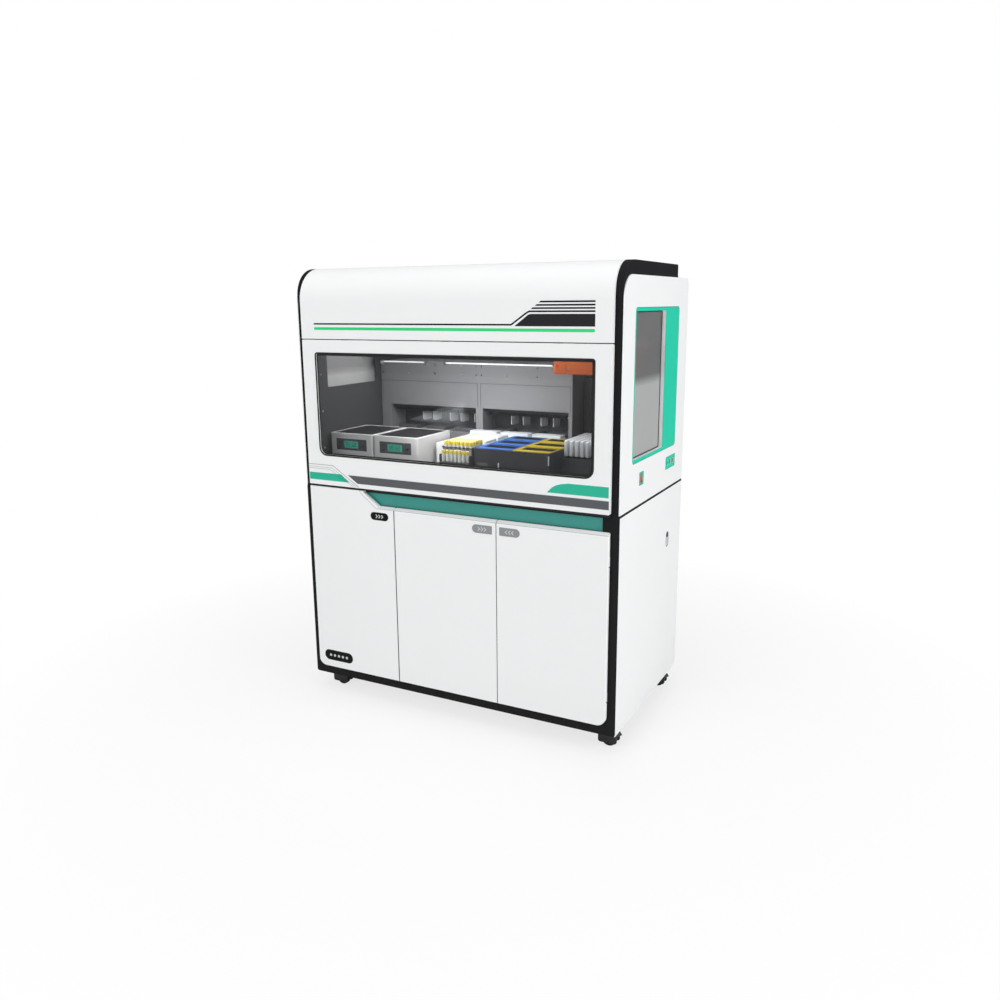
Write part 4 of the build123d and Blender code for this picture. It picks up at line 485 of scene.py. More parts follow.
LABEL_H = 0.7
labels = (("left_door", -262.0, 675.5, (1, 1), BLACK_INK, 1),
          ("middle_door", 127.5, 676.0, (1, 0), PILL_GREY, 1),
          ("right_door", 224.0, 676.0, (0, 1), PILL_GREY, -1))
for door, x, z, ends, ink, turn in labels:
    film(f"{door}_label", "front", DOOR_FACE, [pill(x, z, ends)], door, ink, LABEL_H, 0.3)
    film(f"{door}_arrows", "front", DOOR_FACE + LABEL_H, chevrons(x, z, turn), door, PILL_MARK, 0.15, 0.05)
foot_label = rounded((-522, -400), (122, 160), 18.5, 9)
film("left_door_foot_label", "front", DOOR_FACE, [foot_label], "left_door", BLACK_INK, LABEL_H, 0.3)
dots = [rounded((x - 5, x + 5), (136, 146), 4.9) for x in np.linspace(-496, -426, 5)]
film("left_door_foot_dots", "front", DOOR_FACE + LABEL_H, dots, "left_door", PILL_MARK, 0.15, 0.05)

# ---------------------------------------------------------------- seals and creases, with painted shade in the seams and creases
# Pale grey line along the bevel crease of each door: painted shade where the bevel folds back.
crease_shade = stroke([(-340.5, 757), (-334, 748.0), (-274.0, 701.5), (-206.5, 701.5)], 1.3)
film("left_door_crease", "front", DOOR_FACE, [crease_shade], "left_door", PIN_STRIPE_AND_FOLD_SHADE, 0.12, 0.04)
for door, x0, x1 in (("middle_door", -203.5, 175.5), ("right_door", 178.5, 549.0)):
    line = stroke([(x0, 701.8), (x1, 701.8)], 1.3)
    film(f"{door}_crease", "front", DOOR_FACE, [line], door, PIN_STRIPE_AND_FOLD_SHADE, 0.12, 0.04)
# Seal strips on the door edges: their grey and black paint the shade in the gaps between doors.
for door, x, ink in (("left_door", -206.5, SEAL_AND_SEAM_SHADE), ("middle_door", 175.5, EPDM)):
    seal = rounded((-324.5, -312.0), (99.0, 701.0), 0.8, 3)
    film(f"{door}_edge_seal_and_gap_shade", "right", x, [seal], door, ink, 0.9, 0.4)
HEADER_LOW = 1257.0
# Grey strip under the header: a seal whose colour paints the shade in the seam above the hood.
seal = rounded((-546, 546), (316.0, 322.0), 0.8, 3)
film("hood_top_seal_and_seam_shade", "under", -HEADER_LOW, [seal], "cabinet", SEAL_AND_SEAM_SHADE, 0.5, 0.2)


def gasket(name, plane, level, loop, body, section, material):
    """Rubber bead on a closed outline: a section of (across, up) pairs carried round it."""
    up = PLANES[plane][2]
    return piece(name, swept(onto(plane, level, *np.array(loop).T), section, up, True), body, material)


def bead(width, height, steps=7):
    """Half-ellipse standing on its flat side."""
    t = np.radians(np.linspace(0, 180, steps))
    return np.stack([width / 2 * np.cos(t), height * np.sin(t)], -1)


outer = rounded((-496.5, 496.5), (868.5, 1210.5), (27, 27, 7, 7), 9)
gasket("hood_window_gasket", "front", DOOR_FACE - 0.2, outer, "hood", bead(5.6, 1.8), EPDM)
inner = rounded((-491, 491), (874, 1205), (22, 22, 3, 3), 9)
gasket("hood_window_glazing_rubber", "front", 322.9, inner, "hood", bead(5.0, 1.2), EPDM)
for side, sign in (("right", 1), ("left", -1)):
    span = (-203.0, 82.0) if side == "right" else (-82.0, 203.0)
    loop = rounded(span, (908, 1341), 5.5)
    gasket(f"{side}_window_rubber", side, 561.0, loop, "cabinet", bead(4.6, 1.6), EPDM)

# ---------------------------------------------------------------- stations
STATION_FRONT = 118.0
STATION_TOP = 1160.0
# Glowing bars along the stations' top front edge, held at each end: their glow is a painted highlight of that
# edge.
GLOW_SPANS = ((-530.0, -349.0), (-257.0, 170.0))
bars, holders = [], []
for x0, x1 in GLOW_SPANS:
    path = onto("front", -STATION_FRONT, np.linspace(x0, x1, 3), STATION_TOP - 4)
    bars.append(swept(path, bead(5.0, 3.0), PLANES["front"][2]))
    for x in (x0 - 4, x1 + 4):
        holder = rounded((x - 4, x + 4), (STATION_TOP - 11, STATION_TOP + 3), 1.5, 3)
        holders.append(slab("front", -STATION_FRONT, holder, 5.0))
piece("station_edge_glow_bars", joined(*bars), "cabinet", EDGE_HIGHLIGHT_GLOW)
piece("station_edge_glow_holders", joined(*holders), "cabinet", STAINLESS)
sensor = rounded((-542, -533), (STATION_TOP - 12, STATION_TOP - 1), 2)
piece("level_sensor", slab("front", -STATION_FRONT, sensor, 9.0, 1.0), "cabinet", WHITE_PRINT)

CAVITY = {"left": (-504.0, -135.0), "right": (-107.0, 229.0)}
CAVITY_BACK, CAVITY_FLOOR, CAVITY_CEILING = 212.0, 905.0, 997.0
# Sprayed lining, moulded comb and milled nests: three greys that part the depth of the cavity.
DARK_LINING_AND_FOLD_SHADE = finish("dark_grey_cavity_paint_and_fold_shade", "434547", 0.5, 1.6, 0.02, drift=0.05)
COMB_BLACK = finish("black_polyphenylene_comb", "1D1D1F", 0.45, 1.0, 0.01, drift=0.05)
NEST_GREY = finish("grey_anodised_plate_nest", "6F7173", 0.42, 1.0, 0.01, drift=0.05, metallic=0.5,
                   edge_wear_and_highlight="9A9C9E")
ROD = [(0.01, 0), (3, 0), (3, 9), (2.2, 13), (0.01, 13.5)]
COMB_H = 11.0
for side, (x0, x1) in CAVITY.items():
    wall = rounded((x0 + 1, x1 - 1), (CAVITY_FLOOR + 1, CAVITY_CEILING - 1), 3)
    piece(f"{side}_cavity_lining", slab("front", -CAVITY_BACK, wall, 0.9), "cabinet", DARK_LINING_AND_FOLD_SHADE)
    comb = rounded((x0 + 6, x1 - 6), (STATION_FRONT + 10, CAVITY_BACK - 2), 3)
    ceiling = slab("under", -CAVITY_CEILING, comb * (1, -1), COMB_H, 1.0)
    columns = np.arange(x0 + 18, x1 - 14, 9.0)
    rows = np.arange(STATION_FRONT + 18, CAVITY_BACK - 8, 9.0)
    spots = np.stack([*np.meshgrid(columns, rows), np.zeros((len(rows), len(columns)))], -1)
    rod = turned("under", COMB_H - CAVITY_CEILING, (0, 0), ROD, 8)
    piece(f"{side}_rod_comb", joined(ceiling, copies(rod, spots)), "cabinet", COMB_BLACK)
    nest_y = (STATION_FRONT + 14, CAVITY_BACK - 6)
    nests = [slab("top", CAVITY_FLOOR, rounded((m - 40, m + 40), nest_y, 4), 14.0, 1.0)
             for m in np.linspace(x0, x1, 7)[[1, 3, 5]]]
    piece(f"{side}_plate_nests", joined(*nests), "cabinet", NEST_GREY)

# ---------------------------------------------------------------- screws
def dome_screw(radius):
    """Low domed head with a hexagon socket: radius and height pairs, down into the socket."""
    return [(0.05, 0.0), (radius, 0.0), (radius, radius * 0.25), (radius * 0.8, radius * 0.5),
            (radius * 0.5, radius * 0.62), (radius * 0.45, radius * 0.3), (0.05, radius * 0.3)]


def screws(name, plane, level, places, radius, body, material=SCREW_STEEL):
    """Dome screws at (u, v) places on a plane."""
    places = np.array(places, float)
    moves = onto(plane, 0.0, places[:, 0], places[:, 1])
    return piece(name, copies(turned(plane, level, (0, 0), dome_screw(radius), 12), moves), body, material)


LINER_FACE = 547.0
heights = np.array([876.0, 1004.0, 1132.0, 1260.0, 1388.0])
for side, sign in (("left", 1), ("right", -1)):
    wall = "right" if side == "left" else "left"
    y = np.concatenate([np.full(5, -239.0), np.full(5, 270.0), [-100.0, 20.0, 150.0]])
    z = np.concatenate([heights, heights, np.full(3, 1400.0)])
    screws(f"{side}_liner_screws", wall, -LINER_FACE, np.stack([y * sign, z], -1), 4.0, "cabinet")
cover = [(x, z) for x in (-534, -420, -306, -192, -132, -110, -10, 110, 232) for z in (1147, 1116)]
screws("station_cover_screws", "front", -STATION_FRONT, cover, 3.2, "cabinet")

# ---------------------------------------------------------------- heaters
HEATER_LEFT = (-529.0, -347.0)
HEATER_FRONT = 227.0
HEATER_TOP = 930.0
GLASS_H = 0.6
KNOB = [(0.05, 0), (4.4, 0), (4.4, 1.5), (3.6, 2), (3.4, 6.2), (2.8, 7), (0.05, 7)]
SEGMENTS = {"0": "abcdef", "5": "acdfg", "6": "acdefg", "9": "abcdfg"}


def digits(text, u, v, size):
    """Seven-segment figures: each segment is one short stroke of a digit half as wide as it is high."""
    w, h, t, loops = size * 0.5, size, size * 0.13, []
    ends = {"a": ((0, h), (w, h)), "b": ((w, h), (w, h / 2)), "c": ((w, h / 2), (w, 0)),
            "d": ((0, 0), (w, 0)), "e": ((0, 0), (0, h / 2)), "f": ((0, h / 2), (0, h)),
            "g": ((0, h / 2), (w, h / 2))}
    for i, figure in enumerate(text):
        loops += [stroke(np.array(ends[s]) + (u + i * size * 0.8, v), t) for s in SEGMENTS[figure]]
    return loops


for number, left in enumerate(HEATER_LEFT, 1):
    panel = left + 26.0
    glass = rounded((panel + 33, panel + 92), (880, 904), 1.5, 3)
    film(f"heater_{number}_display", "front", HEATER_FRONT, [glass], "cabinet", LCD_GLASS, GLASS_H, 0.2)
    figures = digits("95", panel + 41, 886, 12) + digits("60", panel + 67, 886, 12)
    film(f"heater_{number}_figures", "front", HEATER_FRONT + GLASS_H, figures, "cabinet", LCD_DIGIT,
         0.1, 0.03)
    knob = turned("front", HEATER_FRONT, (panel + 112.5, 891), KNOB, 24)
    keys = [slab("front", HEATER_FRONT, rounded((panel + 12, panel + 22), (z, z + 6), 2, 3), 1.2)
            for z in (882, 896)]
    piece(f"heater_{number}_knob_and_keys", joined(knob, *keys), "cabinet", NOZZLE_BLACK)
    seat = rounded((left + 7, left + 173), (-220, -18), 4)
    gasket(f"heater_{number}_plate_rim", "top", HEATER_TOP, seat, "cabinet", bead(2.4, 0.8), HEATER_ABS)
    wells = np.stack([*np.meshgrid(left + 90 + (np.arange(8) - 3.5) * 18, -119 + (np.arange(10) - 4.5) * 18),
                      np.zeros((10, 8))], -1)
    cup = turned("top", HEATER_TOP, (0, 0), [(4.2, 0.0), (5.6, 0.0), (5.2, 0.5), (4.4, 0.5)], 12)
    piece(f"heater_{number}_well_rims", copies(cup, wells), "cabinet", HARD_ANODISE)

# ---------------------------------------------------------------- tubes and racks
TUBE_X = np.array([-69.0 + (i + 0.5) * 108.0 / 7 for i in range(7)])
TUBE_Y = np.array([-230.0 + (j + 0.5) * 17.6 for j in range(5)])
# Clear-natural tube and dyed cap: both moulded, with a soft gloss.
TUBE_BODY = finish("natural_polypropylene_tube", "E4E7E6", 0.34, 1.2, 0.008, drift=0.04)
CAP_YELLOW = finish("yellow_ribbed_cap", "DDCB45", 0.42, 0.8, 0.01, drift=0.06)


def ribbed(centre, level, radius, height, ribs=10, depth=0.5):
    """Ribbed cap, r(t) = radius - depth * (1 - cos(ribs * t)) / 2, with a rounded top."""
    t = np.linspace(0, 2 * np.pi, ribs * 2, endpoint=False)
    r = radius - depth * (1 - np.cos(ribs * t)) / 2
    rings = [onto("top", level, centre[0] + (r - i) * np.cos(t), centre[1] + (r - i) * np.sin(t), w)
             for i, w in ((0, 0), (0, height - 1.2), (0.6, height - 0.3), (1.8, height),
                          (radius * 0.8, height))]
    return skin(np.array(rings))


LOW_ROW_Y, LOW_ROW_DROP = -238.5, 27.0
TUBE_FOOT, CAP_LOW, CAP_H = 819.0, 918.0, 12.0
spots = np.stack([*np.meshgrid(TUBE_X, TUBE_Y), np.zeros((5, 7))], -1).reshape(-1, 3)
low_spots = np.stack([TUBE_X, np.full(7, LOW_ROW_Y), np.zeros(7)], -1)


def tube(drop):
    """Tube body with a conical foot, and its cap, shortened by drop."""
    top = CAP_LOW - TUBE_FOOT - drop
    body = turned("top", TUBE_FOOT, (0, 0), [(0.05, 0), (2.5, 0), (5, 12), (5, top), (0.05, top)], 14)
    return body, ribbed((0, 0), CAP_LOW - drop, 5.7, CAP_H)


tall, low = tube(0.0), tube(LOW_ROW_DROP)
caps = joined(copies(tall[1], spots), copies(low[1], low_spots))
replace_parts(piece("tube_caps", caps, "cabinet", CAP_YELLOW), "capped_tubes")
piece("tube_bodies", joined(copies(tall[0], spots), copies(low[0], low_spots)), "cabinet", TUBE_BODY)
disc = [(0.05, 0.0), (4.4, 0.0), (4.4, 0.15), (0.05, 0.15)]
septa = [copies(turned("top", CAP_LOW + CAP_H - drop, (0, 0), disc, 12), places)
         for drop, places in ((0.0, spots), (LOW_ROW_DROP, low_spots))]
piece("tube_cap_septa", joined(*septa), "cabinet", WHITE_PRINT)

TIP_LEFT = {"blue": 53.0, "yellow": 184.0}
TIP_Y = -226.0 + 98.0 * np.arange(3)
RACK_TOP = 907.0
# Carbon-filled tips: satin black.
TIP_BLACK = finish("black_conductive_tip", "242426", 0.38, 0.8, 0.006, drift=0.08)
for colour, left in TIP_LEFT.items():
    fields = [slab("top", RACK_TOP, rounded((left + 14.6, left + 123.2), (y + 30.6, y + 80.9), 1.5, 3), 0.8)
              for y in TIP_Y]
    piece(f"{colour}_rack_inserts", joined(*fields), "cabinet", TIP_BLACK)
    u, v = np.meshgrid(left + 19.4 + np.arange(12) * 9.0, np.arange(5) * 9.4 + 37.0)
    spots = np.concatenate([np.stack([u, v + y, np.zeros(u.shape)], -1).reshape(-1, 3) for y in TIP_Y])
    tip = turned("top", RACK_TOP + 0.8, (0, 0), [(2.4, 0), (3.1, 0), (3.5, 6.4), (3.1, 6.8), (2.5, 6.4)], 8)
    piece(f"{colour}_rack_tips", copies(tip, spots), "cabinet", TIP_BLACK)


def well_plate(x0, y0, level, height, size=(127.8, 85.5), columns=12, rows=8, pitch=9.0):
    """Microplate: a skirt with a stepped deck, and a round rim over each well at the standard pitch."""
    skirt = slab("top", level, rounded((x0, x0 + size[0]), (y0, y0 + size[1]), 3.5), height * 0.4, 0.6)
    inner = rounded((x0 + 2, x0 + size[0] - 2), (y0 + 2, y0 + size[1] - 2), 3)
    deck = slab("top", level + height * 0.4, inner, height * 0.6, 0.6)
    u, v = np.meshgrid(x0 + size[0] / 2 + (np.arange(columns) - (columns - 1) / 2) * pitch,
                       y0 + size[1] / 2 + (np.arange(rows) - (rows - 1) / 2) * pitch)
    places = np.stack([u, v, np.zeros(u.shape)], -1)
    rim = turned("top", level + height, (0, 0), [(3.0, 0.0), (3.9, 0.0), (3.8, 0.7), (3.1, 0.7)], 8)
    # Grey disc at the mouth of each well: painted shade inside the well.
    hole = turned("top", level + height, (0, 0), [(0.05, 0.0), (3.0, 0.0), (3.0, 0.15), (0.05, 0.15)], 8)
    return joined(skirt, deck, copies(rim, places)), copies(hole, places)


# Moulded plates, and grey discs over their wells: painted shade inside each well.
PLATE_PP = finish("white_polypropylene_plate", "DDE3E6", 0.36, 1.2, 0.008, drift=0.03)
WELL_SHADE = finish("grey_painted_shade_in_wells", "7E8A92", 0.2, 1.2, 0.004)
STAGE_TOP = 905.0
for number, (x0, y0) in enumerate(((-92.0, -128.0), (-92.0, -36.0)), 1):
    plate, painted_well_shade = well_plate(x0, y0, STAGE_TOP, 14.0)
    piece(f"sample_plate_{number}", plate, "cabinet", PLATE_PP)
    piece(f"sample_plate_{number}_wells", painted_well_shade, "cabinet", WELL_SHADE)
for number, x0 in enumerate((-138.0, -14.0, 110.0), 1):
    plate, painted_well_shade = well_plate(x0, 70.0, STAGE_TOP, 16.0, (112.0, 42.0), 12, 4)
    piece(f"reagent_trough_{number}", plate, "cabinet", PLATE_PP)
    piece(f"reagent_trough_{number}_wells", painted_well_shade, "cabinet", WELL_SHADE)

# Step and end cheeks that carry the low front row of tubes.
RACK_FRONT, STEP_TOP = 230.0, 866.0
step = rounded((-71.5, 41.5), (811.5, STEP_TOP), 2, 3)
piece("low_row_step", slab("front", RACK_FRONT, step, 18.0, 0.8), "cabinet", RACK_ACRYLIC)
cheek = rounded((-247.5, -231.0), (STEP_TOP, 889), (2, 2, 2, 6), 4)
ends = [slab("right", x, cheek, 2.5, 0.4) for x in (-71.5, 39.0)]
piece("low_row_ends", joined(*ends), "cabinet", RACK_ACRYLIC)

posts = [slab("front", RACK_FRONT, rounded((x - 1.8, x + 1.8), z, 1.2, 3), 2.4) for x, z in
         ((138.0, (850, 872)), (312.5, (876, 906)), (-69.0, (880, 908)))]
piece("rack_locating_posts", joined(*posts), "cabinet", WHITE_PRINT)
plate = rounded((60, 98), (852, 869), 1.5, 3)
film("carrier_label_plate", "front", RACK_FRONT, [plate], "cabinet", NEST_GREY, 0.8, 0.3)

# Folded edge of the lower panel on each station, and the slim joints around it: a dark line painted as the
# shade of the fold.
PANEL_TOP = 1086.0
for side, (x0, x1) in (("left", (-541.0, -125.0)), ("right", (-117.0, 239.0))):
    line = [stroke([(x0 + 2, 1000), (x0 + 2, PANEL_TOP), (x1 - 2, PANEL_TOP), (x1 - 2, 1000)], 1.6)]
    film(f"{side}_panel_fold_shade", "front", -STATION_FRONT, line, "cabinet", DARK_LINING_AND_FOLD_SHADE, 0.25, 0.1)

# Sample strips: slim sleeves with a dark gap between neighbours.
side = rounded((-136.0, 54.0), (893.0, 943.0), (2, 2, 5, 5), 4)
sleeves = [slab("right", x - 5.2, side, 10.4, 0.6) for x in 329.0 + 18.0 * np.arange(12)]
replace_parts(piece("sample_strips", joined(*sleeves), "cabinet", STRIP_PP), "strip_racks")

# ---------------------------------------------------------------- arm and head
ARM_X = (262.0, 470.0)
ARM_FRONT, ARM_LOW, ARM_TOP = 92.0, 1146.0, 1246.0
# Shadow line between covers, and the lens of the status light.
SEAM_ORANGE = finish("orange_cover_joint", "6E3420", 0.5, 1.0, 0.01)
DOT_RED = finish("red_indicator_lens", "C81E22", 0.22, 1.2, 0.004, coat=0.6)
joints = [stroke([(ARM_X[0] + 46, ARM_LOW + 1), (ARM_X[0] + 46, ARM_TOP - 1)], 1.2),
          stroke([(ARM_X[0] + 11, ARM_LOW + 12), (ARM_X[1] - 1, ARM_LOW + 12)], 1.0)]
film("arm_cover_joints", "front", ARM_FRONT, joints, "arm", SEAM_ORANGE, 0.15, 0.05)
corners = [(x, z) for x in (ARM_X[0] + 54, ARM_X[1] - 12) for z in (1166, 1234)]
screws("arm_cover_screws", "front", ARM_FRONT, corners, 2.6, "arm")
lens = [(0.05, 0.0), (3.4, 0.0), (3.4, 0.8), (2.6, 2.0), (0.05, 2.6)]
piece("arm_indicator", turned("front", ARM_FRONT, (ARM_X[0] + 16, ARM_LOW + 26), lens, 20), "arm", DOT_RED)
HEAD_X = (479.0, 541.0)
HEAD_JOINTS = (1100.0, 1222.0)
joints = [stroke([(HEAD_X[0] + 1, z), (HEAD_X[1] - 11, z)], 1.2) for z in HEAD_JOINTS]
film("head_cover_joints", "front", ARM_FRONT, joints, "head", SEAM_ORANGE, 0.15, 0.05)
joints = [stroke([(-81, z), (-4, z)], 1.2) for z in HEAD_JOINTS]
film("head_side_joints", "right", HEAD_X[1], joints, "head", SEAM_ORANGE, 0.15, 0.05)
corners = [(y, z) for y in (-76, -12) for z in (1110, 1161, 1212)]
screws("head_side_screws", "right", HEAD_X[1], corners, 2.6, "head")
rings = []
for v in 42.75 + (np.arange(8) - 3.5) * 9.0:
    rings.append(turned("under", -1062.0, (510.0, v), [(0.9, -0.4), (1.9, -0.4), (1.9, 0.4), (0.9, 0.4)], 12))
    rings.append(turned("under", -1080.0, (510.0, v), [(3.02, 0.0), (3.5, 0.0), (3.5, 2.0), (3.02, 2.0)], 14))
piece("nozzle_seal_rings", joined(*rings), "head", EPDM)

# ---------------------------------------------------------------- cable duct and chain
duct = rounded((247, 285), (815, 1108), (2, 2, 17, 17), 8)
piece("cable_duct", slab("front", -246.0, duct, 38.0, 2.0), "cabinet", LINER_COAT)
BEAM_TOP, LINK_PITCH = 1250.0, 17.0
links = [slab("top", BEAM_TOP, rounded((x, x + 15.0), (24, 50), 3, 3), 15.0, 2.0)
         for x in np.arange(-520, 500, LINK_PITCH)]
piece("cable_chain", joined(*links), "cabinet", NOZZLE_BLACK)

# ---------------------------------------------------------------- right side: ports, switch and latch
SIDE = HALF_W
# Moulded shutters: darker than the green bezel round them.
PORT_TEAL = finish("teal_port_shutter", "1F8F86", 0.3, 1.0, 0.006, drift=0.04)
pitch = 106.0 / 3.5
port_y = 179.0 + (np.arange(3) - 1) * pitch
PORT_Z, PORT_FIT = 844.25, 0.6
frames, shutters, pins = [], [], []
for i, y in enumerate(port_y):
    half_y, half_z = pitch / 4 - PORT_FIT, pitch * 0.3 - PORT_FIT
    mouth = rounded((y - half_y, y + half_y), (PORT_Z - half_z, PORT_Z + half_z), 1, 3)
    frames.append(swept(onto("right", SIDE - 1.2, *mouth.T), bead(1.6, 1.0), PLANES["right"][2], True))
    (pins if i == 0 else shutters).append(slab("right", SIDE - 8.0, mouth, 3.0, 0.3))
piece("port_frames", joined(*frames), "cabinet", WHITE_PRINT)
piece("port_shutters", joined(*shutters), "cabinet", PORT_TEAL)
piece("open_port", joined(*pins), "cabinet", LATCH_BLACK)
marks = [stroke([(-120.5, 846), (-120.5, 850)], 1.4)]
film("rocker_on_mark", "right", 573.0, marks, "rocker", WHITE_PRINT, 0.35, 0.05)
surround = rounded((-142 + 7, -99 - 7), (819 + 3.5, 861 - 3.5), 3, 4)
gasket("switch_surround", "right", SIDE - 1.2, surround, "cabinet", bead(2.6, 1.1), LATCH_BLACK)
key = [(0.05, 0.0), (5.0, 0.0), (5.0, 0.6), (4.2, 1.2), (0.05, 1.2)]
key_plate = rounded((164.0, 186.0), (585.5, 600.5), (3, 3, 10, 10), 6)
barrel = turned("right", SIDE + 1.0, (175.0, 592.0), key, 24)
piece("key_cylinder", joined(slab("right", SIDE, key_plate, 1.0, 0.3), barrel), "cabinet", LATCH_BLACK)
slot = rounded((174.3, 175.7), (589, 595), 0.5, 3)
film("key_slot", "right", SIDE + 2.2, [slot], "cabinet", SCREW_STEEL, 0.15, 0.05)
rim = rounded((162.5, 187.5), (549.5, 601.5), 12.4, 8)
gasket("latch_rim", "right", SIDE, rim, "cabinet", bead(1.4, 0.6), LATCH_BLACK)

# ---------------------------------------------------------------- rear and sides: screws, filters, inlet
rear = [(u * sign, z) for sign in (-1, 1) for u in (190, 380, 560) for z in (72, 742, 772, 1433)]
rear += [(u, z) for u in (-562, 562) for z in (290, 510, 990, 1210)]
screws("rear_cover_screws", "back", BACK_Y, rear, 4.2, "cabinet")
# Open-cell foam: rough black that swallows light.
FILTER_FOAM = finish("black_filter_foam", "2E2E30", 0.9, 1.6, 0.5, drift=0.2, smudge=6.0)
fields = [rounded((x - 112, x + 112), (583 - 52, 583 + 52), 4, 3) for x in (-20.0, 380.0)]
fields += [rounded((x - 112, x + 112), (1264 - 64, 1264 + 64), 4, 3) for x in (-243.0, 243.0)]
mats = [slab("back", BACK_Y - 6.0, loop, 3.6, 0.6) for loop in fields]
piece("rear_vent_filters", joined(*mats), "cabinet", FILTER_FOAM)
# Inlet pins in the zinc whose shine is painted in as near white.
pins = [slab("back", BACK_Y - 17.0, rounded((-380 + x - 1, -380 + x + 1), (z - 2, z + 2), 0.4, 3), 11.0, 0.5)
        for x, z in ((-7, 157), (7, 157), (0, 163))]
piece("inlet_pins", joined(*pins), "cabinet", ZINC_WITH_PAINTED_SHINE)

# ---------------------------------------------------------------- casters
NUT = [(0.05, 0), (4.6, 0), (4.6, 2.6), (4.0, 3.0), (0.05, 3.0)]
AXLE_CAP = [(0.05, 0.0), (4.4, 0.0), (4.4, 0.6), (3.6, 1.2), (0.05, 1.2)]
AXLE_OUT, AXLE_Z = 17.0, 25.0
PLATE_UNDER, BOLT_OUT = 58.0, 23.0
for name, x, y in (("left_front", -520.0, -250.0), ("left_back", -520.0, 250.0),
                   ("right_front", 520.0, -250.0), ("right_back", 520.0, 250.0)):
    bolts = onto("under", 0.0, x + BOLT_OUT * np.array([-1, 1, -1, 1]),
                 -y + BOLT_OUT * np.array([1, 1, -1, -1]))
    head = turned("under", -PLATE_UNDER, (0, 0), NUT, 6)
    piece(f"bolts_{name}", copies(head, bolts), "cabinet", SCREW_STEEL)
    guards = []
    for side, sign in (("back", 1), ("front", -1)):
        u = -sign * (x + 15.0)
        cheek = rounded((u - 31, u + 31), (13, 57), (8, 8, 14, 14), 6)
        guards.append(slab(side, sign * y + 12.8, cheek, 5.5, 1.6))
        guards.append(turned(side, sign * y + 18.3, (-sign * (x + AXLE_OUT), AXLE_Z), AXLE_CAP, 20))
    t = np.radians(np.linspace(15, 165, 15))
    crown = onto("front", -y, x + AXLE_OUT + 29.0 * np.cos(t), AXLE_Z + 29.0 * np.sin(t))
    guards.append(swept(crown, [(-15, -0.9), (15, -0.9), (15, 0.9), (-15, 0.9)], (0.0, -0.3, 1.0)))
    piece(f"wheel_guard_{name}", joined(*guards), f"fork_{name}", CASTER_NYLON)

# ---------------------------------------------------------------- seal on the edge of the bench plate
lip = rounded((-548.5, 548.5), (758.2, 764.6), 1.5, 3)
piece("bench_seal", slab("front", -FRAME_Y, lip, 14.5, 1.2), "cabinet", EPDM)
# Lacquered edge of the green bezels: a deeper line round each.
DEEP_GREEN = finish("deep_green_edge_lacquer", "0A8A74", 0.4, 1.0, 0.004, drift=0.03)
for side, sign in (("right", 1), ("left", -1)):
    rim = rounded(tuple(sorted((-211.0 * sign, 225.0 * sign))), (896, 1352.5), 13, 8)
    gasket(f"{side}_bezel_edge", side, HALF_W - 0.1, rim, "cabinet", bead(2.2, 0.35), DEEP_GREEN)
port_rim, switch_rim = rounded((127, 231), (824, 864.5), 3.5, 4), rounded((-141, -100), (820, 860), 3.5, 4)
gasket("port_bezel_edge", "right", HALF_W - 0.1, port_rim, "cabinet", bead(2.0, 0.35), DEEP_GREEN)
gasket("switch_bezel_edge", "right", HALF_W - 0.1, switch_rim, "cabinet", bead(2.0, 0.35), DEEP_GREEN)


# ---------------------------------------------------------------- room, light and camera
def seen_white(tree):
    """1 for rays that come straight from the camera or through a pane, so that both see a white room."""
    path = add(tree, "ShaderNodeLightPath")
    return add(tree, "ShaderNodeMath", {"operation": "MAXIMUM"}, i0=path.outputs["Is Camera Ray"],
               i1=path.outputs["Is Transmission Ray"]).outputs["Value"]


def room():
    """White all round for the eye, and a softer even light for the object."""
    world = bpy.data.worlds.new("soft_white_room")
    world.use_nodes = True
    tree = world.node_tree
    light = tree.nodes["Background"]
    light.inputs["Color"].default_value = (0.97, 0.985, 1.0, 1.0)
    light.inputs["Strength"].default_value = 0.34
    white = add(tree, "ShaderNodeBackground", Color=(1.0, 1.0, 1.0, 1.0), Strength=1.0)
    both = add(tree, "ShaderNodeMixShader", i0=seen_white(tree), i1=light.outputs["Background"],
               i2=white.outputs["Background"])
    tree.links.new(both.outputs["Shader"], tree.nodes["World Output"].inputs["Surface"])
    bpy.context.scene.world = world


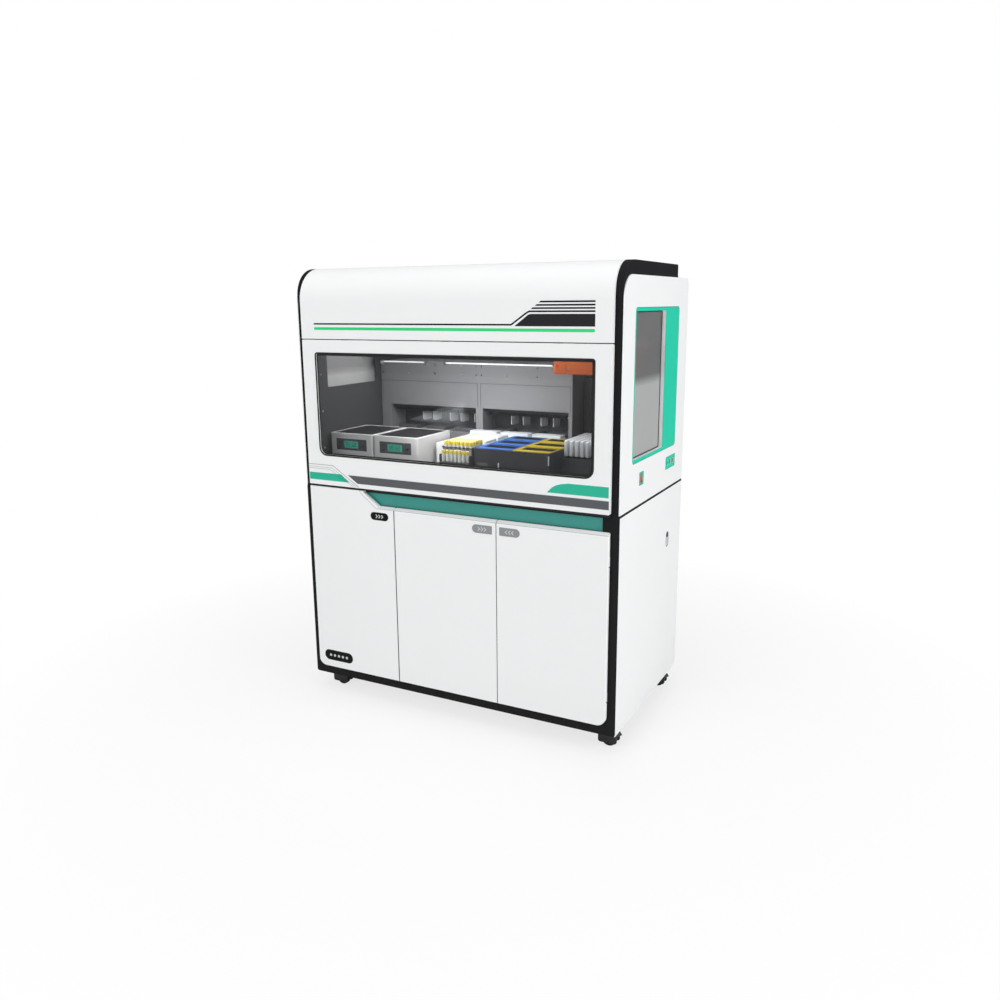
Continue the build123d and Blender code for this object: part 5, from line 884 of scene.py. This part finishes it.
def floor():
    """Round pale floor that takes the shadow near the object and fades to plain white further out."""
    radius = 26000.0
    t = np.linspace(0, 2 * np.pi, 96, endpoint=False)
    rim = np.stack([radius * np.cos(t), radius * np.sin(t), np.zeros(96)], -1)
    mesh = bpy.data.meshes.new("studio_floor")
    mesh.from_pydata((rim * MM).tolist(), [], [list(range(96))])
    made = bpy.data.objects.new("studio_floor", mesh)
    bpy.context.scene.collection.objects.link(made)
    paint, tree, shader = blank("pale_floor_paint")
    shader.inputs["Base Color"].default_value = linear("F2F2F2")
    shader.inputs["Roughness"].default_value = 0.9
    white = add(tree, "ShaderNodeEmission", Color=(1.0, 1.0, 1.0, 1.0), Strength=1.0)
    place = add(tree, "ShaderNodeTexCoord").outputs["Object"]
    away = add(tree, "ShaderNodeVectorMath", {"operation": "LENGTH"}, i0=place)
    fade = add(tree, "ShaderNodeMapRange", Value=away.outputs["Value"], From_Min=0.6, From_Max=1.9,
               To_Min=0.74, To_Max=1.0)
    share = add(tree, "ShaderNodeMath", {"operation": "MULTIPLY"}, i0=seen_white(tree),
                i1=fade.outputs["Result"])
    both = add(tree, "ShaderNodeMixShader", i0=share.outputs["Value"], i1=shader.outputs["BSDF"],
               i2=white.outputs["Emission"])
    tree.links.new(both.outputs["Shader"], tree.nodes["Material Output"].inputs["Surface"])
    mesh.materials.append(paint)
    made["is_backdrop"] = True


def lamp(name, place, aim, size, power):
    """Square area lamp facing a point, in millimetres and watts. The camera doesn't see it."""
    light = bpy.data.lights.new(name, "AREA")
    light.size = size * MM
    light.energy = power
    made = bpy.data.objects.new(name, light)
    made.location = np.array(place) * MM
    back = np.array(place, float) - np.array(aim, float)
    z = back / np.linalg.norm(back)
    x = np.cross((0, 0, 1), z)
    x /= np.linalg.norm(x)
    turn = np.eye(4)
    turn[:3, :3] = np.stack([x, np.cross(z, x), z], -1)
    turn[:3, 3] = np.array(place) * MM
    made.matrix_world = Matrix(turn.tolist())
    made.visible_camera = False
    made.visible_glossy = size > 1000
    bpy.context.scene.collection.objects.link(made)
    return made


def camera():
    """Camera in front, to the right and a little above, slightly rolled."""
    lens = bpy.data.cameras.new("studio_camera")
    lens.sensor_width = 36.0
    lens.lens = 31.574
    lens.clip_start, lens.clip_end = 0.05, 200.0
    made = bpy.data.objects.new("studio_camera", lens)
    right, up = np.array([0.88740, 0.46092, -0.00753]), np.array([-0.09430, 0.19748, 0.97576])
    turn = np.eye(4)
    turn[:3, :3] = np.stack([right, up, np.cross(right, up)], -1)
    turn[:3, 3] = (1.4105, -2.6618, 1.3667)
    made.matrix_world = Matrix(turn.tolist())
    bpy.context.scene.collection.objects.link(made)
    bpy.context.scene.camera = made


room()
floor()
lamp("key_front", (-1500, -5200, 3200), (0, 0, 800), 3000, 103)
lamp("fill_right", (5200, -1200, 2600), (0, 0, 800), 3000, 140)
lamp("top_soft", (0, -600, 5200), (0, 0, 800), 3600, 70)
for side, x in (("left", -260), ("right", 260)):
    lamp(f"chamber_light_{side}", (x, -150, 1400), (x, 0, 900), 320, 2.75)
lamp("chamber_front_light", (-60, -285, 1130), (0, 212, 960), 260, 2.2)
camera()
bpy.context.scene.view_settings.view_transform = "Standard"

low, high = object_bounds()
